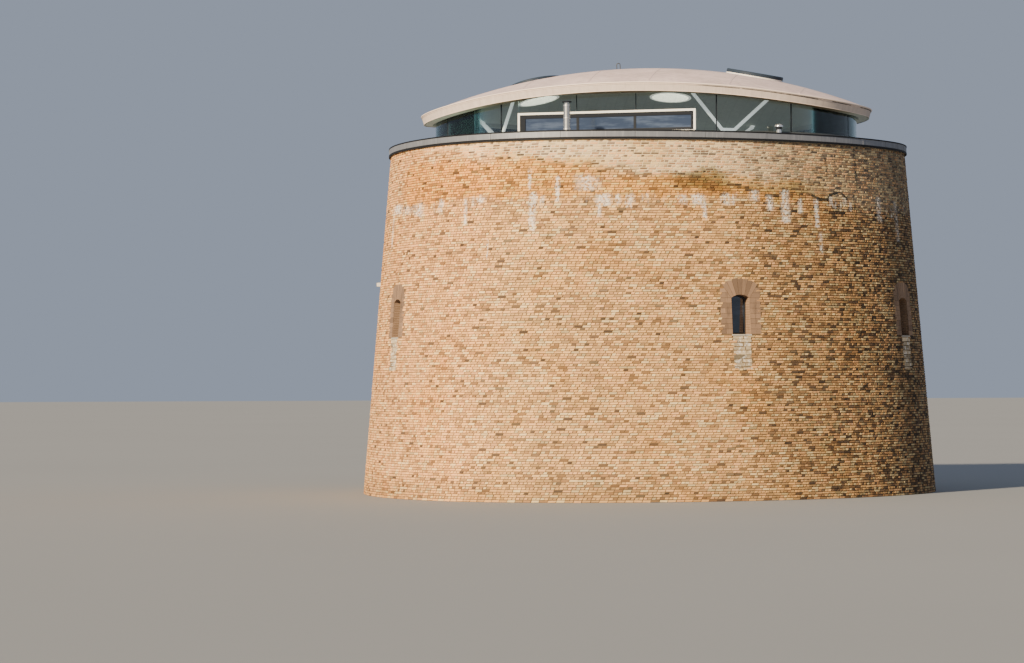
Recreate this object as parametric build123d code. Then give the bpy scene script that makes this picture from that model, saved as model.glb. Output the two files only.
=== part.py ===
from build123d import *
import math
import os

# A brick gun tower of rounded three-sided plan, with a later domed roof room on its gun platform.
# Millimetres, +Z up. The origin is on the ground, under the middle of the rooms.
# The front looks along -Y. A turn is an angle in plan from the front, growing towards +X.

os.makedirs("parts", exist_ok=True)

# Plan of the outer wall: three round corners joined by three flatter sides, of one constant width
WALL_CORNER_TURN = 92
WALL_CORNER_RADIUS = 5390
WALL_SPREAD = 4460
WALL_HEIGHT = 10000
WALL_BATTER = 4.887

# Levels
FOOTING_DEPTH = 150
GROUND_FLOOR_LEVEL = 350
UPPER_FLOOR_UNDERSIDE = 3300
UPPER_FLOOR_LEVEL = 3550
VAULT_SPRING_LEVEL = 6900
GUN_FLOOR_LEVEL = 8400

# Round rooms, with a ledge in the wall under each floor
FOOTING_RADIUS = 3850
LOWER_ROOM_RADIUS = 4050
UPPER_ROOM_RADIUS = 4200
VAULT_SEAT_RADIUS = 4400
VAULT_RISE = 900
FLOOR_CLEARANCE = 0.4
ROOF_ROOM_RADIUS = 5000

# Middle of the gun platform and of all that stands on it
ROOF_CENTRE = (520, -250)

# Windows and the upper entrance door
WINDOW_WIDTH = 560
WINDOW_HEIGHT = 1090
WINDOW_ARCH_RISE = 90
WINDOW_SILL_LEVEL = 4580
REVEAL_DEPTH = 330
EMBRASURE_LENGTH = 4700
EMBRASURE_END_WIDTH = 1300
FRAME_WIDTH = 45
FRAME_DEPTH = 70
PANE_THICKNESS = 14
SEAT_GAP = 0.3
DOOR_WIDTH = 1050
DOOR_HEIGHT = 2050
DOOR_ARCH_RISE = 150
DOOR_REVEAL_DEPTH = 450
DOOR_FRAME_WIDTH = 75
DOOR_THICKNESS = 60
CUT_MARGIN = 600

# Coping on the parapet
COPING_HEIGHT = 190
COPING_OVERHANG = 70
COPING_COUNT = 24
COPING_JOINT_TURN = 0.03

# Domed roof: a lobed plan cut from a shallow dome that is a little flatter from front to back
ROOF_CORNER_TURN = 48
ROOF_CORNER_RADIUS = 4286
ROOF_SPREAD = 4688
ROOF_PLAN_LEVEL = 11200
ROOF_EDGE_LEAN = 17
ROOF_APEX_LEVEL = 12455
ROOF_APEX_OFFSET = (-120, -430)
DOME_RADIUS_ACROSS = 17300
DOME_RADIUS_ALONG = 21200
ROOF_THICKNESS = 235
ROOF_SECTORS = 6
ROOF_SECTOR_TURN = 30

# Ring beam over the glass and the soffit outside it
RING_BEAM_DROP = 110
RING_BEAM_WIDTH = 120
RING_BEAM_COUNT = 24
SOFFIT_THICKNESS = 15
SOFFIT_EDGE = 40
SOFFIT_INNER_GAP = 38
SOFFIT_PANELS = 36
SOFFIT_JOINT_TURN = 0.06

# Glass wall of the roof room
GLASS_INSET = 450
GLASS_THICKNESS = 20
GLASS_JOINT_TURN = 0.1
GLASS_HEAD_GAP = 8
CURB_HEIGHT = 60
CURB_WIDTH = 140
CURB_COUNT = 24

# Flat framed screen in the front of the glass wall
SCREEN_TURN = -13.3
SCREEN_DISTANCE = 5628
SCREEN_LEFT = -2080
SCREEN_RIGHT = 3060
SCREEN_HEAD_LEVEL = 10890
SCREEN_HEADER_LEVEL = 11370
SCREEN_PANES = 3
SCREEN_FRAME_DEPTH = 90
SCREEN_RAIL = 60
SCREEN_SASH = 70
SCREEN_SASH_DEPTH = 50

# V columns
COLUMN_TURNS = [-57, 23, 86, 160, 232]
COLUMN_FOOT_RADIUS = 5300
COLUMN_HEAD_RADIUS = 5740
COLUMN_HEAD_TURN = 13.5
COLUMN_MIDDLE_RADIUS = 48
COLUMN_END_RADIUS = 24
COLUMN_TAPER_LENGTH = 260
COLUMN_BASE_RADIUS = 130
COLUMN_BASE_THICKNESS = 25

# Round rooflights: middle of each in plan, and height of its kerb
ROOFLIGHTS = [(-2970, 1300, 220), (3450, -2700, 20), (1080, 2500, 220)]
ROOFLIGHT_OPENING_RADIUS = 570
KERB_RADIUS = 740
LID_RADIUS = 825
LID_THICKNESS = 100
LID_CHAMFER = 20

# Flue, vent and small fittings
FLUE_PLACE = (-1898, -6900)
FLUE_RADIUS = 93
FLUE_HEIGHT = 780
FLUE_COLLAR_RADIUS = 125
FLUE_COLLAR_HEIGHT = 60
FLUE_NECK_RADIUS = 70
FLUE_NECK_HEIGHT = 60
FLUE_CAP_RADIUS = 125
FLUE_CAP_HEIGHT = 40
VENT_PLACE = (4000, -5955)
VENT_RADIUS = 72
VENT_HEIGHT = 265
VENT_CAP_RADIUS = 120
VENT_CAP_HEIGHT = 85
VENT_CAP_ROUND = 60
ANCHOR_PLACE = (-485, -1700)
ANCHOR_BAR_RADIUS = 12
ANCHOR_LEG_HEIGHT = 150
ANCHOR_BOW_RADIUS = 50
ANCHOR_PLATE_RADIUS = 90
ANCHOR_PLATE_THICKNESS = 10
LAMP_TURN = -90
LAMP_LEVEL = 6210
LAMP_WIDTH = 240
LAMP_HEIGHT = 110
LAMP_DEPTH = 150

# Openings in the wall: name, turn of the wall there
WINDOWS = {"left": -67, "front": 24.4, "right": 62.5, "back_right": 140, "back_left": 218}
DOOR_TURN = 172

# Wall segments: name, start and end of each in polar turn about the origin
WALL_SEGMENTS = [
    ("wall_left_window", -72, -42),
    ("wall_front_left", -42, -18),
    ("wall_front", -18, 6),
    ("wall_front_window", 6, 36),
    ("wall_front_right", 36, 61),
    ("wall_right_window", 61, 91),
    ("wall_right", 91, 119),
    ("wall_back_right_window", 119, 149),
    ("wall_back_right", 149, 166),
    ("wall_entrance", 166, 198),
    ("wall_back_left_window", 198, 232),
    ("wall_back_left", 232, 260),
    ("wall_left", 260, 288),
]
PARAPET_NAMES = ["front", "front_right", "back_right", "back", "back_left", "front_left"]
PARAPET_FIRST_TURN = -32
GLASS_JOINTS = {
    "glass_right": [16.7, 36.6, 59.5, 81, 102.5],
    "glass_back": [102.5, 124, 145.5, 167, 188.5, 210, 231.5],
    "glass_left": [231.5, 252.5, 273, 294, 315],
}

FAR = 30000
HALVINGS = 40
FULL_TURN = 360
LOBE_TURN = 60


def outward(turn):
    """Unit vector in plan that looks out at this turn."""
    angle = math.radians(turn)
    return Vector(math.sin(angle), -math.cos(angle), 0)


def along(turn):
    """Unit vector in plan along a wall that faces this turn."""
    angle = math.radians(turn)
    return Vector(math.cos(angle), math.sin(angle), 0)


def lobed_plan(centre, corner_turn, corner_radius, spread, level=0):
    """Face bounded by three corner arcs and three side arcs, tangent where they meet."""
    reach = spread / math.sqrt(3)
    middle = Vector(centre[0], centre[1], level)
    edges = []
    for corner in range(3):
        turn = corner_turn + 120 * corner
        start = turn - 30 - 90
        edges.append(CenterArc(middle + outward(turn) * reach, corner_radius, start, 60))
        opposite = middle + outward(turn + 240) * reach
        edges.append(CenterArc(opposite, corner_radius + spread, start + 60, 60))
    return Face(Wire(edges))


def lobed_point(centre, corner_turn, corner_radius, spread, turn):
    """Point of the same outline where it faces this turn."""
    reach = spread / math.sqrt(3)
    middle = Vector(centre[0], centre[1], 0)
    offset = (turn - corner_turn + 30) % 120
    corner = turn - offset + 30
    if offset <= 60:
        return middle + outward(corner) * reach + outward(turn) * corner_radius
    return middle + outward(corner + 240) * reach + outward(turn) * (corner_radius + spread)


def wedge(centre, start, end, bottom, top):
    """Tall three-sided prism that holds the polar turns from start to end about a centre."""
    middle = Vector(centre[0], centre[1], bottom)
    corners = [middle, middle + outward(start) * FAR, middle + outward(end) * FAR]
    return extrude(make_face(Polyline(*corners, close=True)), amount=top - bottom, dir=(0, 0, 1))


def disc(radius, bottom, top, centre=(0, 0)):
    """Upright cylinder between two levels."""
    place = Pos(centre[0], centre[1], bottom)
    return place * Cylinder(radius, top - bottom, align=(Align.CENTER, Align.CENTER, Align.MIN))


def save(name, shape):
    """Write one node as a STEP file."""
    solids = [solid for solid in shape.solids()]
    part = Compound(children=solids) if len(solids) > 1 else solids[0]
    export_step(part, "parts/" + name + ".step")


# Outer wall

def wall_radius(level):
    """Corner radius of the wall's plan at a level: the wall leans in as it rises."""
    return WALL_CORNER_RADIUS + (WALL_HEIGHT - level) * math.tan(math.radians(WALL_BATTER))


def wall_block(bottom, top):
    """The whole battered mass between two levels."""
    plan = lobed_plan((0, 0), WALL_CORNER_TURN, wall_radius(bottom), WALL_SPREAD, bottom)
    return extrude(plan, amount=top - bottom, dir=(0, 0, 1), taper=WALL_BATTER)


def wall_place(turn, level):
    """Frame on the wall's outer face: local -Y looks out, X runs along the wall, Z is up."""
    point = lobed_point((0, 0), WALL_CORNER_TURN, wall_radius(level), WALL_SPREAD, turn)
    return Location((point.X, point.Y, level), (0, 0, turn))


def arched_face(width, height, rise, depth):
    """Upright opening with a segmental arch, drawn in local XZ at a depth into the wall."""
    half = width / 2
    spring = height - rise
    sides = Polyline((-half, depth, spring), (-half, depth, 0), (half, depth, 0), (half, depth, spring))
    arch = ThreePointArc((half, depth, spring), (0, depth, height), (-half, depth, spring))
    return Face(Wire(sides.edges() + [arch]))


def arched_prism(width, height, rise, front, back):
    """Arched opening carried into the wall from front to back."""
    return extrude(arched_face(width, height, rise, front), amount=back - front, dir=(0, 1, 0))


def window_cut():
    """Straight outer reveal that holds the frame, then an embrasure that widens towards the room."""
    straight = REVEAL_DEPTH + FRAME_DEPTH
    reveal = arched_prism(WINDOW_WIDTH, WINDOW_HEIGHT, WINDOW_ARCH_RISE, -CUT_MARGIN, straight)
    narrow_end = arched_face(WINDOW_WIDTH, WINDOW_HEIGHT, WINDOW_ARCH_RISE, straight)
    room_end = arched_face(EMBRASURE_END_WIDTH, WINDOW_HEIGHT, WINDOW_ARCH_RISE, EMBRASURE_LENGTH)
    return reveal + loft([narrow_end, room_end], ruled=True)


def door_cut():
    """Straight arched passage through the wall at the upper floor."""
    return arched_prism(DOOR_WIDTH, DOOR_HEIGHT, DOOR_ARCH_RISE, -CUT_MARGIN, EMBRASURE_LENGTH)


def wall_lifts(segment, sill, spring):
    """A segment built in three lifts: below an opening, the two jambs, and above the arch's spring."""
    solids = []
    for bottom, top in ((-CUT_MARGIN, sill), (sill, spring), (spring, WALL_HEIGHT)):
        solids += (segment & disc(FAR, bottom, top)).solids()
    return Compound(children=solids)


def build_walls():
    """Wall segments up to the gun floor, with ledges for the floors and cut openings."""
    rooms = disc(FOOTING_RADIUS, -CUT_MARGIN, FOOTING_DEPTH)
    rooms += disc(LOWER_ROOM_RADIUS, FOOTING_DEPTH, UPPER_FLOOR_UNDERSIDE)
    rooms += disc(UPPER_ROOM_RADIUS, UPPER_FLOOR_UNDERSIDE, VAULT_SPRING_LEVEL)
    rooms += disc(VAULT_SEAT_RADIUS, VAULT_SPRING_LEVEL, GUN_FLOOR_LEVEL + CUT_MARGIN)
    shell = wall_block(0, GUN_FLOOR_LEVEL) - rooms
    door_spring = UPPER_FLOOR_LEVEL + DOOR_HEIGHT - DOOR_ARCH_RISE
    window_spring = WINDOW_SILL_LEVEL + WINDOW_HEIGHT - WINDOW_ARCH_RISE
    cuts = {"wall_entrance": wall_place(DOOR_TURN, UPPER_FLOOR_LEVEL) * door_cut()}
    for side, turn in WINDOWS.items():
        cuts["wall_" + side + "_window"] = wall_place(turn, WINDOW_SILL_LEVEL) * window_cut()
    for name, start, end in WALL_SEGMENTS:
        segment = shell & wedge((0, 0), start, end, -CUT_MARGIN, WALL_HEIGHT)
        if name == "wall_entrance":
            segment = wall_lifts(segment - cuts[name], UPPER_FLOOR_LEVEL, door_spring)
        elif name in cuts:
            segment = wall_lifts(segment - cuts[name], WINDOW_SILL_LEVEL, window_spring)
        save(name, segment)


def build_parapet():
    """Thick parapet round the gun platform, in six lengths."""
    ring = wall_block(GUN_FLOOR_LEVEL, WALL_HEIGHT)
    ring -= disc(ROOF_ROOM_RADIUS, 0, WALL_HEIGHT + CUT_MARGIN, ROOF_CENTRE)
    step = FULL_TURN / len(PARAPET_NAMES)
    for index, side in enumerate(PARAPET_NAMES):
        start = PARAPET_FIRST_TURN + step * index
        save("parapet_" + side, ring & wedge((0, 0), start, start + step, 0, FAR))


def build_floors():
    """Ground floor, upper floor and the domed brick vault that carries the gun platform."""
    ground = disc(FOOTING_RADIUS - FLOOR_CLEARANCE, 0, FOOTING_DEPTH)
    ground += disc(LOWER_ROOM_RADIUS - FLOOR_CLEARANCE, FOOTING_DEPTH, GROUND_FLOOR_LEVEL)
    save("ground_floor", ground)
    save("upper_floor", disc(UPPER_ROOM_RADIUS - FLOOR_CLEARANCE, UPPER_FLOOR_UNDERSIDE, UPPER_FLOOR_LEVEL))
    dome_radius = (UPPER_ROOM_RADIUS ** 2 + VAULT_RISE ** 2) / (2 * VAULT_RISE)
    hollow = Pos(0, 0, VAULT_SPRING_LEVEL + VAULT_RISE - dome_radius) * Sphere(dome_radius)
    vault = disc(VAULT_SEAT_RADIUS - FLOOR_CLEARANCE, VAULT_SPRING_LEVEL, GUN_FLOOR_LEVEL) - hollow
    save("gun_platform", vault)


def build_openings():
    """Frames and panes of the windows, and the fixed door in the upper entrance."""
    back = REVEAL_DEPTH + FRAME_DEPTH
    frame = Pos(0, 0, SEAT_GAP) * arched_prism(
        WINDOW_WIDTH - 2 * SEAT_GAP, WINDOW_HEIGHT - 2 * SEAT_GAP, WINDOW_ARCH_RISE, REVEAL_DEPTH, back)
    sight_width = WINDOW_WIDTH - 2 * FRAME_WIDTH
    sight_height = WINDOW_HEIGHT - 2 * FRAME_WIDTH
    sight = Pos(0, 0, FRAME_WIDTH) * arched_prism(
        sight_width, sight_height, WINDOW_ARCH_RISE, 0, back + CUT_MARGIN)
    pane_front = REVEAL_DEPTH + FRAME_DEPTH / 2
    pane = Pos(0, 0, FRAME_WIDTH + SEAT_GAP) * arched_prism(
        sight_width - 2 * SEAT_GAP, sight_height - 2 * SEAT_GAP, WINDOW_ARCH_RISE,
        pane_front, pane_front + PANE_THICKNESS)
    frames = []
    panes = []
    for turn in WINDOWS.values():
        place = wall_place(turn, WINDOW_SILL_LEVEL)
        frames.append(place * (frame - sight))
        panes.append(place * pane)
    save("window_frames", Compound(children=[solid for shape in frames for solid in shape.solids()]))
    save("window_panes", Compound(children=[solid for shape in panes for solid in shape.solids()]))

    place = wall_place(DOOR_TURN, UPPER_FLOOR_LEVEL)
    front = DOOR_REVEAL_DEPTH
    casing = Pos(0, 0, SEAT_GAP) * arched_prism(
        DOOR_WIDTH - 2 * SEAT_GAP, DOOR_HEIGHT - 2 * SEAT_GAP, DOOR_ARCH_RISE,
        front, front + DOOR_FRAME_WIDTH)
    leaf_width = DOOR_WIDTH - 2 * DOOR_FRAME_WIDTH
    leaf_height = DOOR_HEIGHT - DOOR_FRAME_WIDTH
    gap = arched_prism(leaf_width, leaf_height, DOOR_ARCH_RISE, 0, front + CUT_MARGIN)
    leaf = Pos(0, 0, SEAT_GAP) * arched_prism(
        leaf_width - 2 * SEAT_GAP, leaf_height - 2 * SEAT_GAP, DOOR_ARCH_RISE,
        front, front + DOOR_THICKNESS)
    save("entrance_frame", place * (casing - gap))
    save("entrance_door", place * leaf)


# Coping

def build_coping():
    """Flat capping over the parapet in separate lengths, standing proud of the wall."""
    plan = lobed_plan((0, 0), WALL_CORNER_TURN, WALL_CORNER_RADIUS + COPING_OVERHANG, WALL_SPREAD, WALL_HEIGHT)
    top = WALL_HEIGHT + COPING_HEIGHT
    slab = extrude(plan, amount=COPING_HEIGHT, dir=(0, 0, 1))
    slab -= disc(ROOF_ROOM_RADIUS, 0, top + CUT_MARGIN, ROOF_CENTRE)
    step = FULL_TURN / COPING_COUNT
    lengths = []
    for index in range(COPING_COUNT):
        start = step * index
        piece = wedge((0, 0), start + COPING_JOINT_TURN, start + step - COPING_JOINT_TURN, 0, FAR)
        lengths += (slab & piece).solids()
    save("coping", Compound(children=lengths))


# Dome geometry

DOME_CENTRE = (ROOF_CENTRE[0] + ROOF_APEX_OFFSET[0], ROOF_CENTRE[1] + ROOF_APEX_OFFSET[1])
DOME_CUT_DEPTH = 4500
DOME_HALF_WIDTH = 9000
DOME_HALF_TURN = 26


def dome_level(x, y, depth):
    """Height of the dome's surface, or of the surface parallel to it at this depth below."""
    ring = math.sqrt((DOME_RADIUS_ACROSS - depth) ** 2 - (x - DOME_CENTRE[0]) ** 2)
    ring += DOME_RADIUS_ALONG - DOME_RADIUS_ACROSS
    return ROOF_APEX_LEVEL - DOME_RADIUS_ALONG + math.sqrt(ring ** 2 - (y - DOME_CENTRE[1]) ** 2)


def dome_block(depth):
    """Solid under the dome's surface, or under the parallel surface at this depth."""
    x, y = DOME_CENTRE
    radius = DOME_RADIUS_ACROSS - depth
    middle = ROOF_APEX_LEVEL - DOME_RADIUS_ACROSS
    floor = ROOF_APEX_LEVEL - DOME_CUT_DEPTH
    side = middle + math.sqrt(radius ** 2 - DOME_HALF_WIDTH ** 2)
    left = (x - DOME_HALF_WIDTH, y, side)
    right = (x + DOME_HALF_WIDTH, y, side)
    crown = ThreePointArc(left, (x, y, middle + radius), right)
    rest = Polyline(right, (right[0], y, floor), (left[0], y, floor), left)
    section = Face(Wire([crown] + list(rest.edges())))
    axis = Axis((x, y, ROOF_APEX_LEVEL - DOME_RADIUS_ALONG), (1, 0, 0))
    return revolve(section.rotate(axis, -DOME_HALF_TURN), axis, revolution_arc=2 * DOME_HALF_TURN)


def roof_edge_block():
    """Solid inside the leaning edge of the roof."""
    bottom = ROOF_PLAN_LEVEL - 2 * CUT_MARGIN
    lean = math.tan(math.radians(ROOF_EDGE_LEAN))
    plan = lobed_plan(ROOF_CENTRE, ROOF_CORNER_TURN, ROOF_CORNER_RADIUS - 2 * CUT_MARGIN * lean,
                      ROOF_SPREAD, bottom)
    return extrude(plan, amount=5 * CUT_MARGIN, dir=(0, 0, 1), taper=-ROOF_EDGE_LEAN)


def dome_plane(place, depth=0):
    """Frame on the dome, or on the surface at this depth, with Z square to the surface."""
    x, y = place
    level = dome_level(x, y, depth)
    radius = DOME_RADIUS_ACROSS - depth
    ring = math.sqrt(radius ** 2 - (x - DOME_CENTRE[0]) ** 2)
    turn = math.asin((y - DOME_CENTRE[1]) / (ring + DOME_RADIUS_ALONG - DOME_RADIUS_ACROSS))
    tilt = math.asin((x - DOME_CENTRE[0]) / radius)
    normal = Vector(math.sin(tilt), math.cos(tilt) * math.sin(turn), math.cos(tilt) * math.cos(turn))
    return Plane(origin=(x, y, level), x_dir=(1, 0, -normal.X / normal.Z), z_dir=normal)


def build_roof(dome, under, edge):
    """Thin shell in sectors, with a round hole for each rooflight."""
    shell = (dome & edge) - under
    hole = Cylinder(ROOFLIGHT_OPENING_RADIUS, 2 * CUT_MARGIN)
    for x, y, _ in ROOFLIGHTS:
        shell -= dome_plane((x, y)) * hole
    step = FULL_TURN / ROOF_SECTORS
    for index in range(ROOF_SECTORS):
        start = ROOF_SECTOR_TURN + step * index
        sector = shell & wedge(ROOF_CENTRE, start, start + step, 0, FAR)
        save("roof_shell_" + str(index + 1), sector)


def build_rooflights(dome):
    """Round kerb standing on the dome and a thick flat lid on it, three times."""
    kerbs = []
    lids = []
    align = (Align.CENTER, Align.CENTER, Align.MIN)
    for x, y, kerb_height in ROOFLIGHTS:
        plane = dome_plane((x, y))
        tube = Cylinder(KERB_RADIUS, kerb_height + CUT_MARGIN, align=align)
        tube -= Cylinder(ROOFLIGHT_OPENING_RADIUS, kerb_height + CUT_MARGIN, align=align)
        kerb = plane * (Pos(0, 0, -CUT_MARGIN) * tube) - dome
        kerbs += kerb.solids()
        lid = Cylinder(LID_RADIUS, LID_THICKNESS, align=align)
        lid = chamfer(lid.edges().group_by(Axis.Z)[-1], LID_CHAMFER)
        lids += (plane * (Pos(0, 0, kerb_height) * lid)).solids()
    save("rooflight_kerbs", Compound(children=kerbs))
    save("rooflight_lids", Compound(children=lids))


# Glass wall

def glass_region(grow, bottom, top):
    """Upright block inside the glass line, grown outwards by a distance, flat at the screen."""
    plan = lobed_plan(ROOF_CENTRE, ROOF_CORNER_TURN, ROOF_CORNER_RADIUS - GLASS_INSET + grow,
                      ROOF_SPREAD, bottom)
    block = extrude(plan, amount=top - bottom, dir=(0, 0, 1))
    return block - screen_front(grow, bottom, top)


def screen_front(grow, bottom, top):
    """Everything in front of the screen's plane, grown outwards by a distance."""
    place = Location((0, 0, bottom), (0, 0, SCREEN_TURN))
    align = (Align.CENTER, Align.MAX, Align.MIN)
    return place * (Pos(0, -SCREEN_DISTANCE - grow, 0) * Box(FAR, FAR, top - bottom, align=align))


def glass_ring(half, bottom, top):
    """Upright ring of a half thickness each side of the glass line."""
    return glass_region(half, bottom, top) - glass_region(-half, bottom, top)


CURB_LEVEL = WALL_HEIGHT + COPING_HEIGHT
GLASS_FOOT_LEVEL = CURB_LEVEL + CURB_HEIGHT
RING_BEAM_DEPTH = ROOF_THICKNESS + RING_BEAM_DROP


def build_curb():
    """Low upstand on the coping that the glass stands on."""
    ring = glass_ring(CURB_WIDTH / 2, CURB_LEVEL, GLASS_FOOT_LEVEL)
    step = FULL_TURN / CURB_COUNT
    lengths = []
    for index in range(CURB_COUNT):
        start = step * index
        piece = wedge(ROOF_CENTRE, start + COPING_JOINT_TURN, start + step - COPING_JOINT_TURN, 0, FAR)
        lengths += (ring & piece).solids()
    save("glass_curb", Compound(children=lengths))


def screen_ends():
    """Polar turns about the roof's centre of the two ends of the screen."""
    ends = []
    for offset in (SCREEN_LEFT, SCREEN_RIGHT):
        point = outward(SCREEN_TURN) * SCREEN_DISTANCE + along(SCREEN_TURN) * offset
        ends.append(math.degrees(math.atan2(point.X - ROOF_CENTRE[0], ROOF_CENTRE[1] - point.Y)))
    return ends


def screen_header(margin=0):
    """Block over the screen where the ring beam hangs lower, down to a level line."""
    place = Location((0, 0, SCREEN_HEADER_LEVEL - margin), (0, 0, SCREEN_TURN))
    align = (Align.MIN, Align.CENTER, Align.MIN)
    return place * (Pos(SCREEN_LEFT - margin, -SCREEN_DISTANCE, 0) * Box(
        SCREEN_RIGHT - SCREEN_LEFT + 2 * margin, 2 * RING_BEAM_WIDTH,
        ROOF_APEX_LEVEL - SCREEN_HEADER_LEVEL, align=align))


def build_ring_beam():
    """Beam over the glass, under the roof shell, in separate lengths."""
    ring = glass_ring(RING_BEAM_WIDTH / 2, GLASS_FOOT_LEVEL, ROOF_APEX_LEVEL)
    ring &= dome_block(ROOF_THICKNESS + SEAT_GAP)
    ring -= dome_block(RING_BEAM_DEPTH) - screen_header()
    step = FULL_TURN / RING_BEAM_COUNT
    lengths = []
    for index in range(RING_BEAM_COUNT):
        start = step * index
        piece = wedge(ROOF_CENTRE, start + COPING_JOINT_TURN, start + step - COPING_JOINT_TURN, 0, FAR)
        lengths += (ring & piece).solids()
    save("ring_beam", Compound(children=lengths))


def build_glass():
    """Frameless panes between the curb and the ring beam, and the panes over the screen."""
    below_beam = dome_block(RING_BEAM_DEPTH + GLASS_HEAD_GAP)
    ring = glass_ring(GLASS_THICKNESS / 2, GLASS_FOOT_LEVEL, ROOF_APEX_LEVEL)
    for name, joints in GLASS_JOINTS.items():
        panes = []
        for start, end in zip(joints, joints[1:]):
            piece = wedge(ROOF_CENTRE, start + GLASS_JOINT_TURN, end - GLASS_JOINT_TURN, 0, FAR)
            panes += ((ring & piece) & below_beam).solids()
        save(name, Compound(children=panes))

    left, right = screen_ends()
    cheeks = []
    last_joint = GLASS_JOINTS["glass_left"][-1] - FULL_TURN
    first_joint = GLASS_JOINTS["glass_right"][0]
    for start, end in ((last_joint, left), (right, first_joint)):
        piece = wedge(ROOF_CENTRE, start + GLASS_JOINT_TURN, end - GLASS_JOINT_TURN, 0, FAR)
        cheeks += (((ring & piece) & below_beam) - screen_header(GLASS_HEAD_GAP)).solids()
    save("cheek_panels", Compound(children=cheeks))

    width = (SCREEN_RIGHT - SCREEN_LEFT) / SCREEN_PANES
    align = (Align.MIN, Align.CENTER, Align.MIN)
    place = Location((0, 0, SCREEN_HEAD_LEVEL), (0, 0, SCREEN_TURN))
    transoms = []
    for index in range(SCREEN_PANES):
        start = SCREEN_LEFT + width * index + 2 * GLASS_THICKNESS / SCREEN_PANES
        pane = Pos(start, -SCREEN_DISTANCE, 0) * Box(
            width - GLASS_THICKNESS, GLASS_THICKNESS,
            SCREEN_HEADER_LEVEL - GLASS_HEAD_GAP - SCREEN_HEAD_LEVEL, align=align)
        transoms += ((place * pane) & below_beam).solids()
    save("transom_glass", Compound(children=transoms))


def build_screen():
    """Framed flat screen: outer frame, three sashes in one dark frame, and their panes."""
    length = SCREEN_RIGHT - SCREEN_LEFT
    height = SCREEN_HEAD_LEVEL - GLASS_FOOT_LEVEL
    align = (Align.MIN, Align.CENTER, Align.MIN)
    place = Location((0, 0, GLASS_FOOT_LEVEL), (0, 0, SCREEN_TURN)) * Pos(SCREEN_LEFT, -SCREEN_DISTANCE, 0)
    frame = Box(length, SCREEN_FRAME_DEPTH, height, align=align)
    clear_length = length - 2 * SCREEN_RAIL
    clear_height = height - 2 * SCREEN_RAIL
    frame -= Pos(SCREEN_RAIL, 0, SCREEN_RAIL) * Box(clear_length, FAR, clear_height, align=align)
    save("screen_frame", place * frame)

    sash = Pos(SCREEN_RAIL + SEAT_GAP, 0, SCREEN_RAIL) * Box(
        clear_length - 2 * SEAT_GAP, SCREEN_SASH_DEPTH, clear_height - SEAT_GAP, align=align)
    width = (clear_length - SCREEN_SASH) / SCREEN_PANES
    panes = []
    for index in range(SCREEN_PANES):
        left = SCREEN_RAIL + SCREEN_SASH + width * index
        opening = Pos(left, 0, SCREEN_RAIL + SCREEN_SASH) * Box(
            width - SCREEN_SASH, FAR, clear_height - 2 * SCREEN_SASH, align=align)
        sash -= opening
        panes.append(place * (Pos(left + SEAT_GAP, 0, SCREEN_RAIL + SCREEN_SASH + SEAT_GAP) * Box(
            width - SCREEN_SASH - 2 * SEAT_GAP, GLASS_THICKNESS,
            clear_height - 2 * SCREEN_SASH - 2 * SEAT_GAP, align=align)))
    save("screen_sashes", place * sash)
    save("screen_panes", Compound(children=[solid for pane in panes for solid in pane.solids()]))


def past_screen(point, grow):
    """How far a point lies in front of the screen's plane, grown outwards by a distance."""
    return point.dot(outward(SCREEN_TURN)) - SCREEN_DISTANCE - grow


def soffit_inner(turn):
    """Low inner corner of the soffit: beside the ring beam, or beside the header at the screen."""
    grow = RING_BEAM_WIDTH / 2 + SOFFIT_INNER_GAP
    point = lobed_point(ROOF_CENTRE, ROOF_CORNER_TURN, ROOF_CORNER_RADIUS - GLASS_INSET + grow,
                        ROOF_SPREAD, turn)
    ahead = past_screen(point, grow)
    if ahead <= 0:
        return Vector(point.X, point.Y, dome_level(point.X, point.Y, RING_BEAM_DEPTH))
    ray = point - Vector(ROOF_CENTRE[0], ROOF_CENTRE[1], 0)
    point = point - ray * (ahead / ray.dot(outward(SCREEN_TURN)))
    under_shell = dome_level(point.X, point.Y, ROOF_THICKNESS) - 2 * SOFFIT_THICKNESS
    return Vector(point.X, point.Y, min(SCREEN_HEADER_LEVEL, under_shell))


def soffit_outer(turn):
    """High outer corner of the soffit: under the shell, just inside its leaning edge."""
    nominal = lobed_point(ROOF_CENTRE, ROOF_CORNER_TURN, ROOF_CORNER_RADIUS, ROOF_SPREAD, turn)
    rise = dome_level(nominal.X, nominal.Y, ROOF_THICKNESS) - ROOF_PLAN_LEVEL
    inset = SOFFIT_EDGE - rise * math.tan(math.radians(ROOF_EDGE_LEAN))
    point = lobed_point(ROOF_CENTRE, ROOF_CORNER_TURN, ROOF_CORNER_RADIUS - inset, ROOF_SPREAD, turn)
    return Vector(point.X, point.Y, dome_level(point.X, point.Y, ROOF_THICKNESS) - SEAT_GAP)


def screen_corner_turn(inside, outside):
    """Turn at which the soffit's inner line meets the screen, found by halving the range."""
    grow = RING_BEAM_WIDTH / 2 + SOFFIT_INNER_GAP
    for _ in range(HALVINGS):
        middle = (inside + outside) / 2
        point = lobed_point(ROOF_CENTRE, ROOF_CORNER_TURN, ROOF_CORNER_RADIUS - GLASS_INSET + grow,
                            ROOF_SPREAD, middle)
        if past_screen(point, grow) > 0:
            inside = middle
        else:
            outside = middle
    return outside


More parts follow.
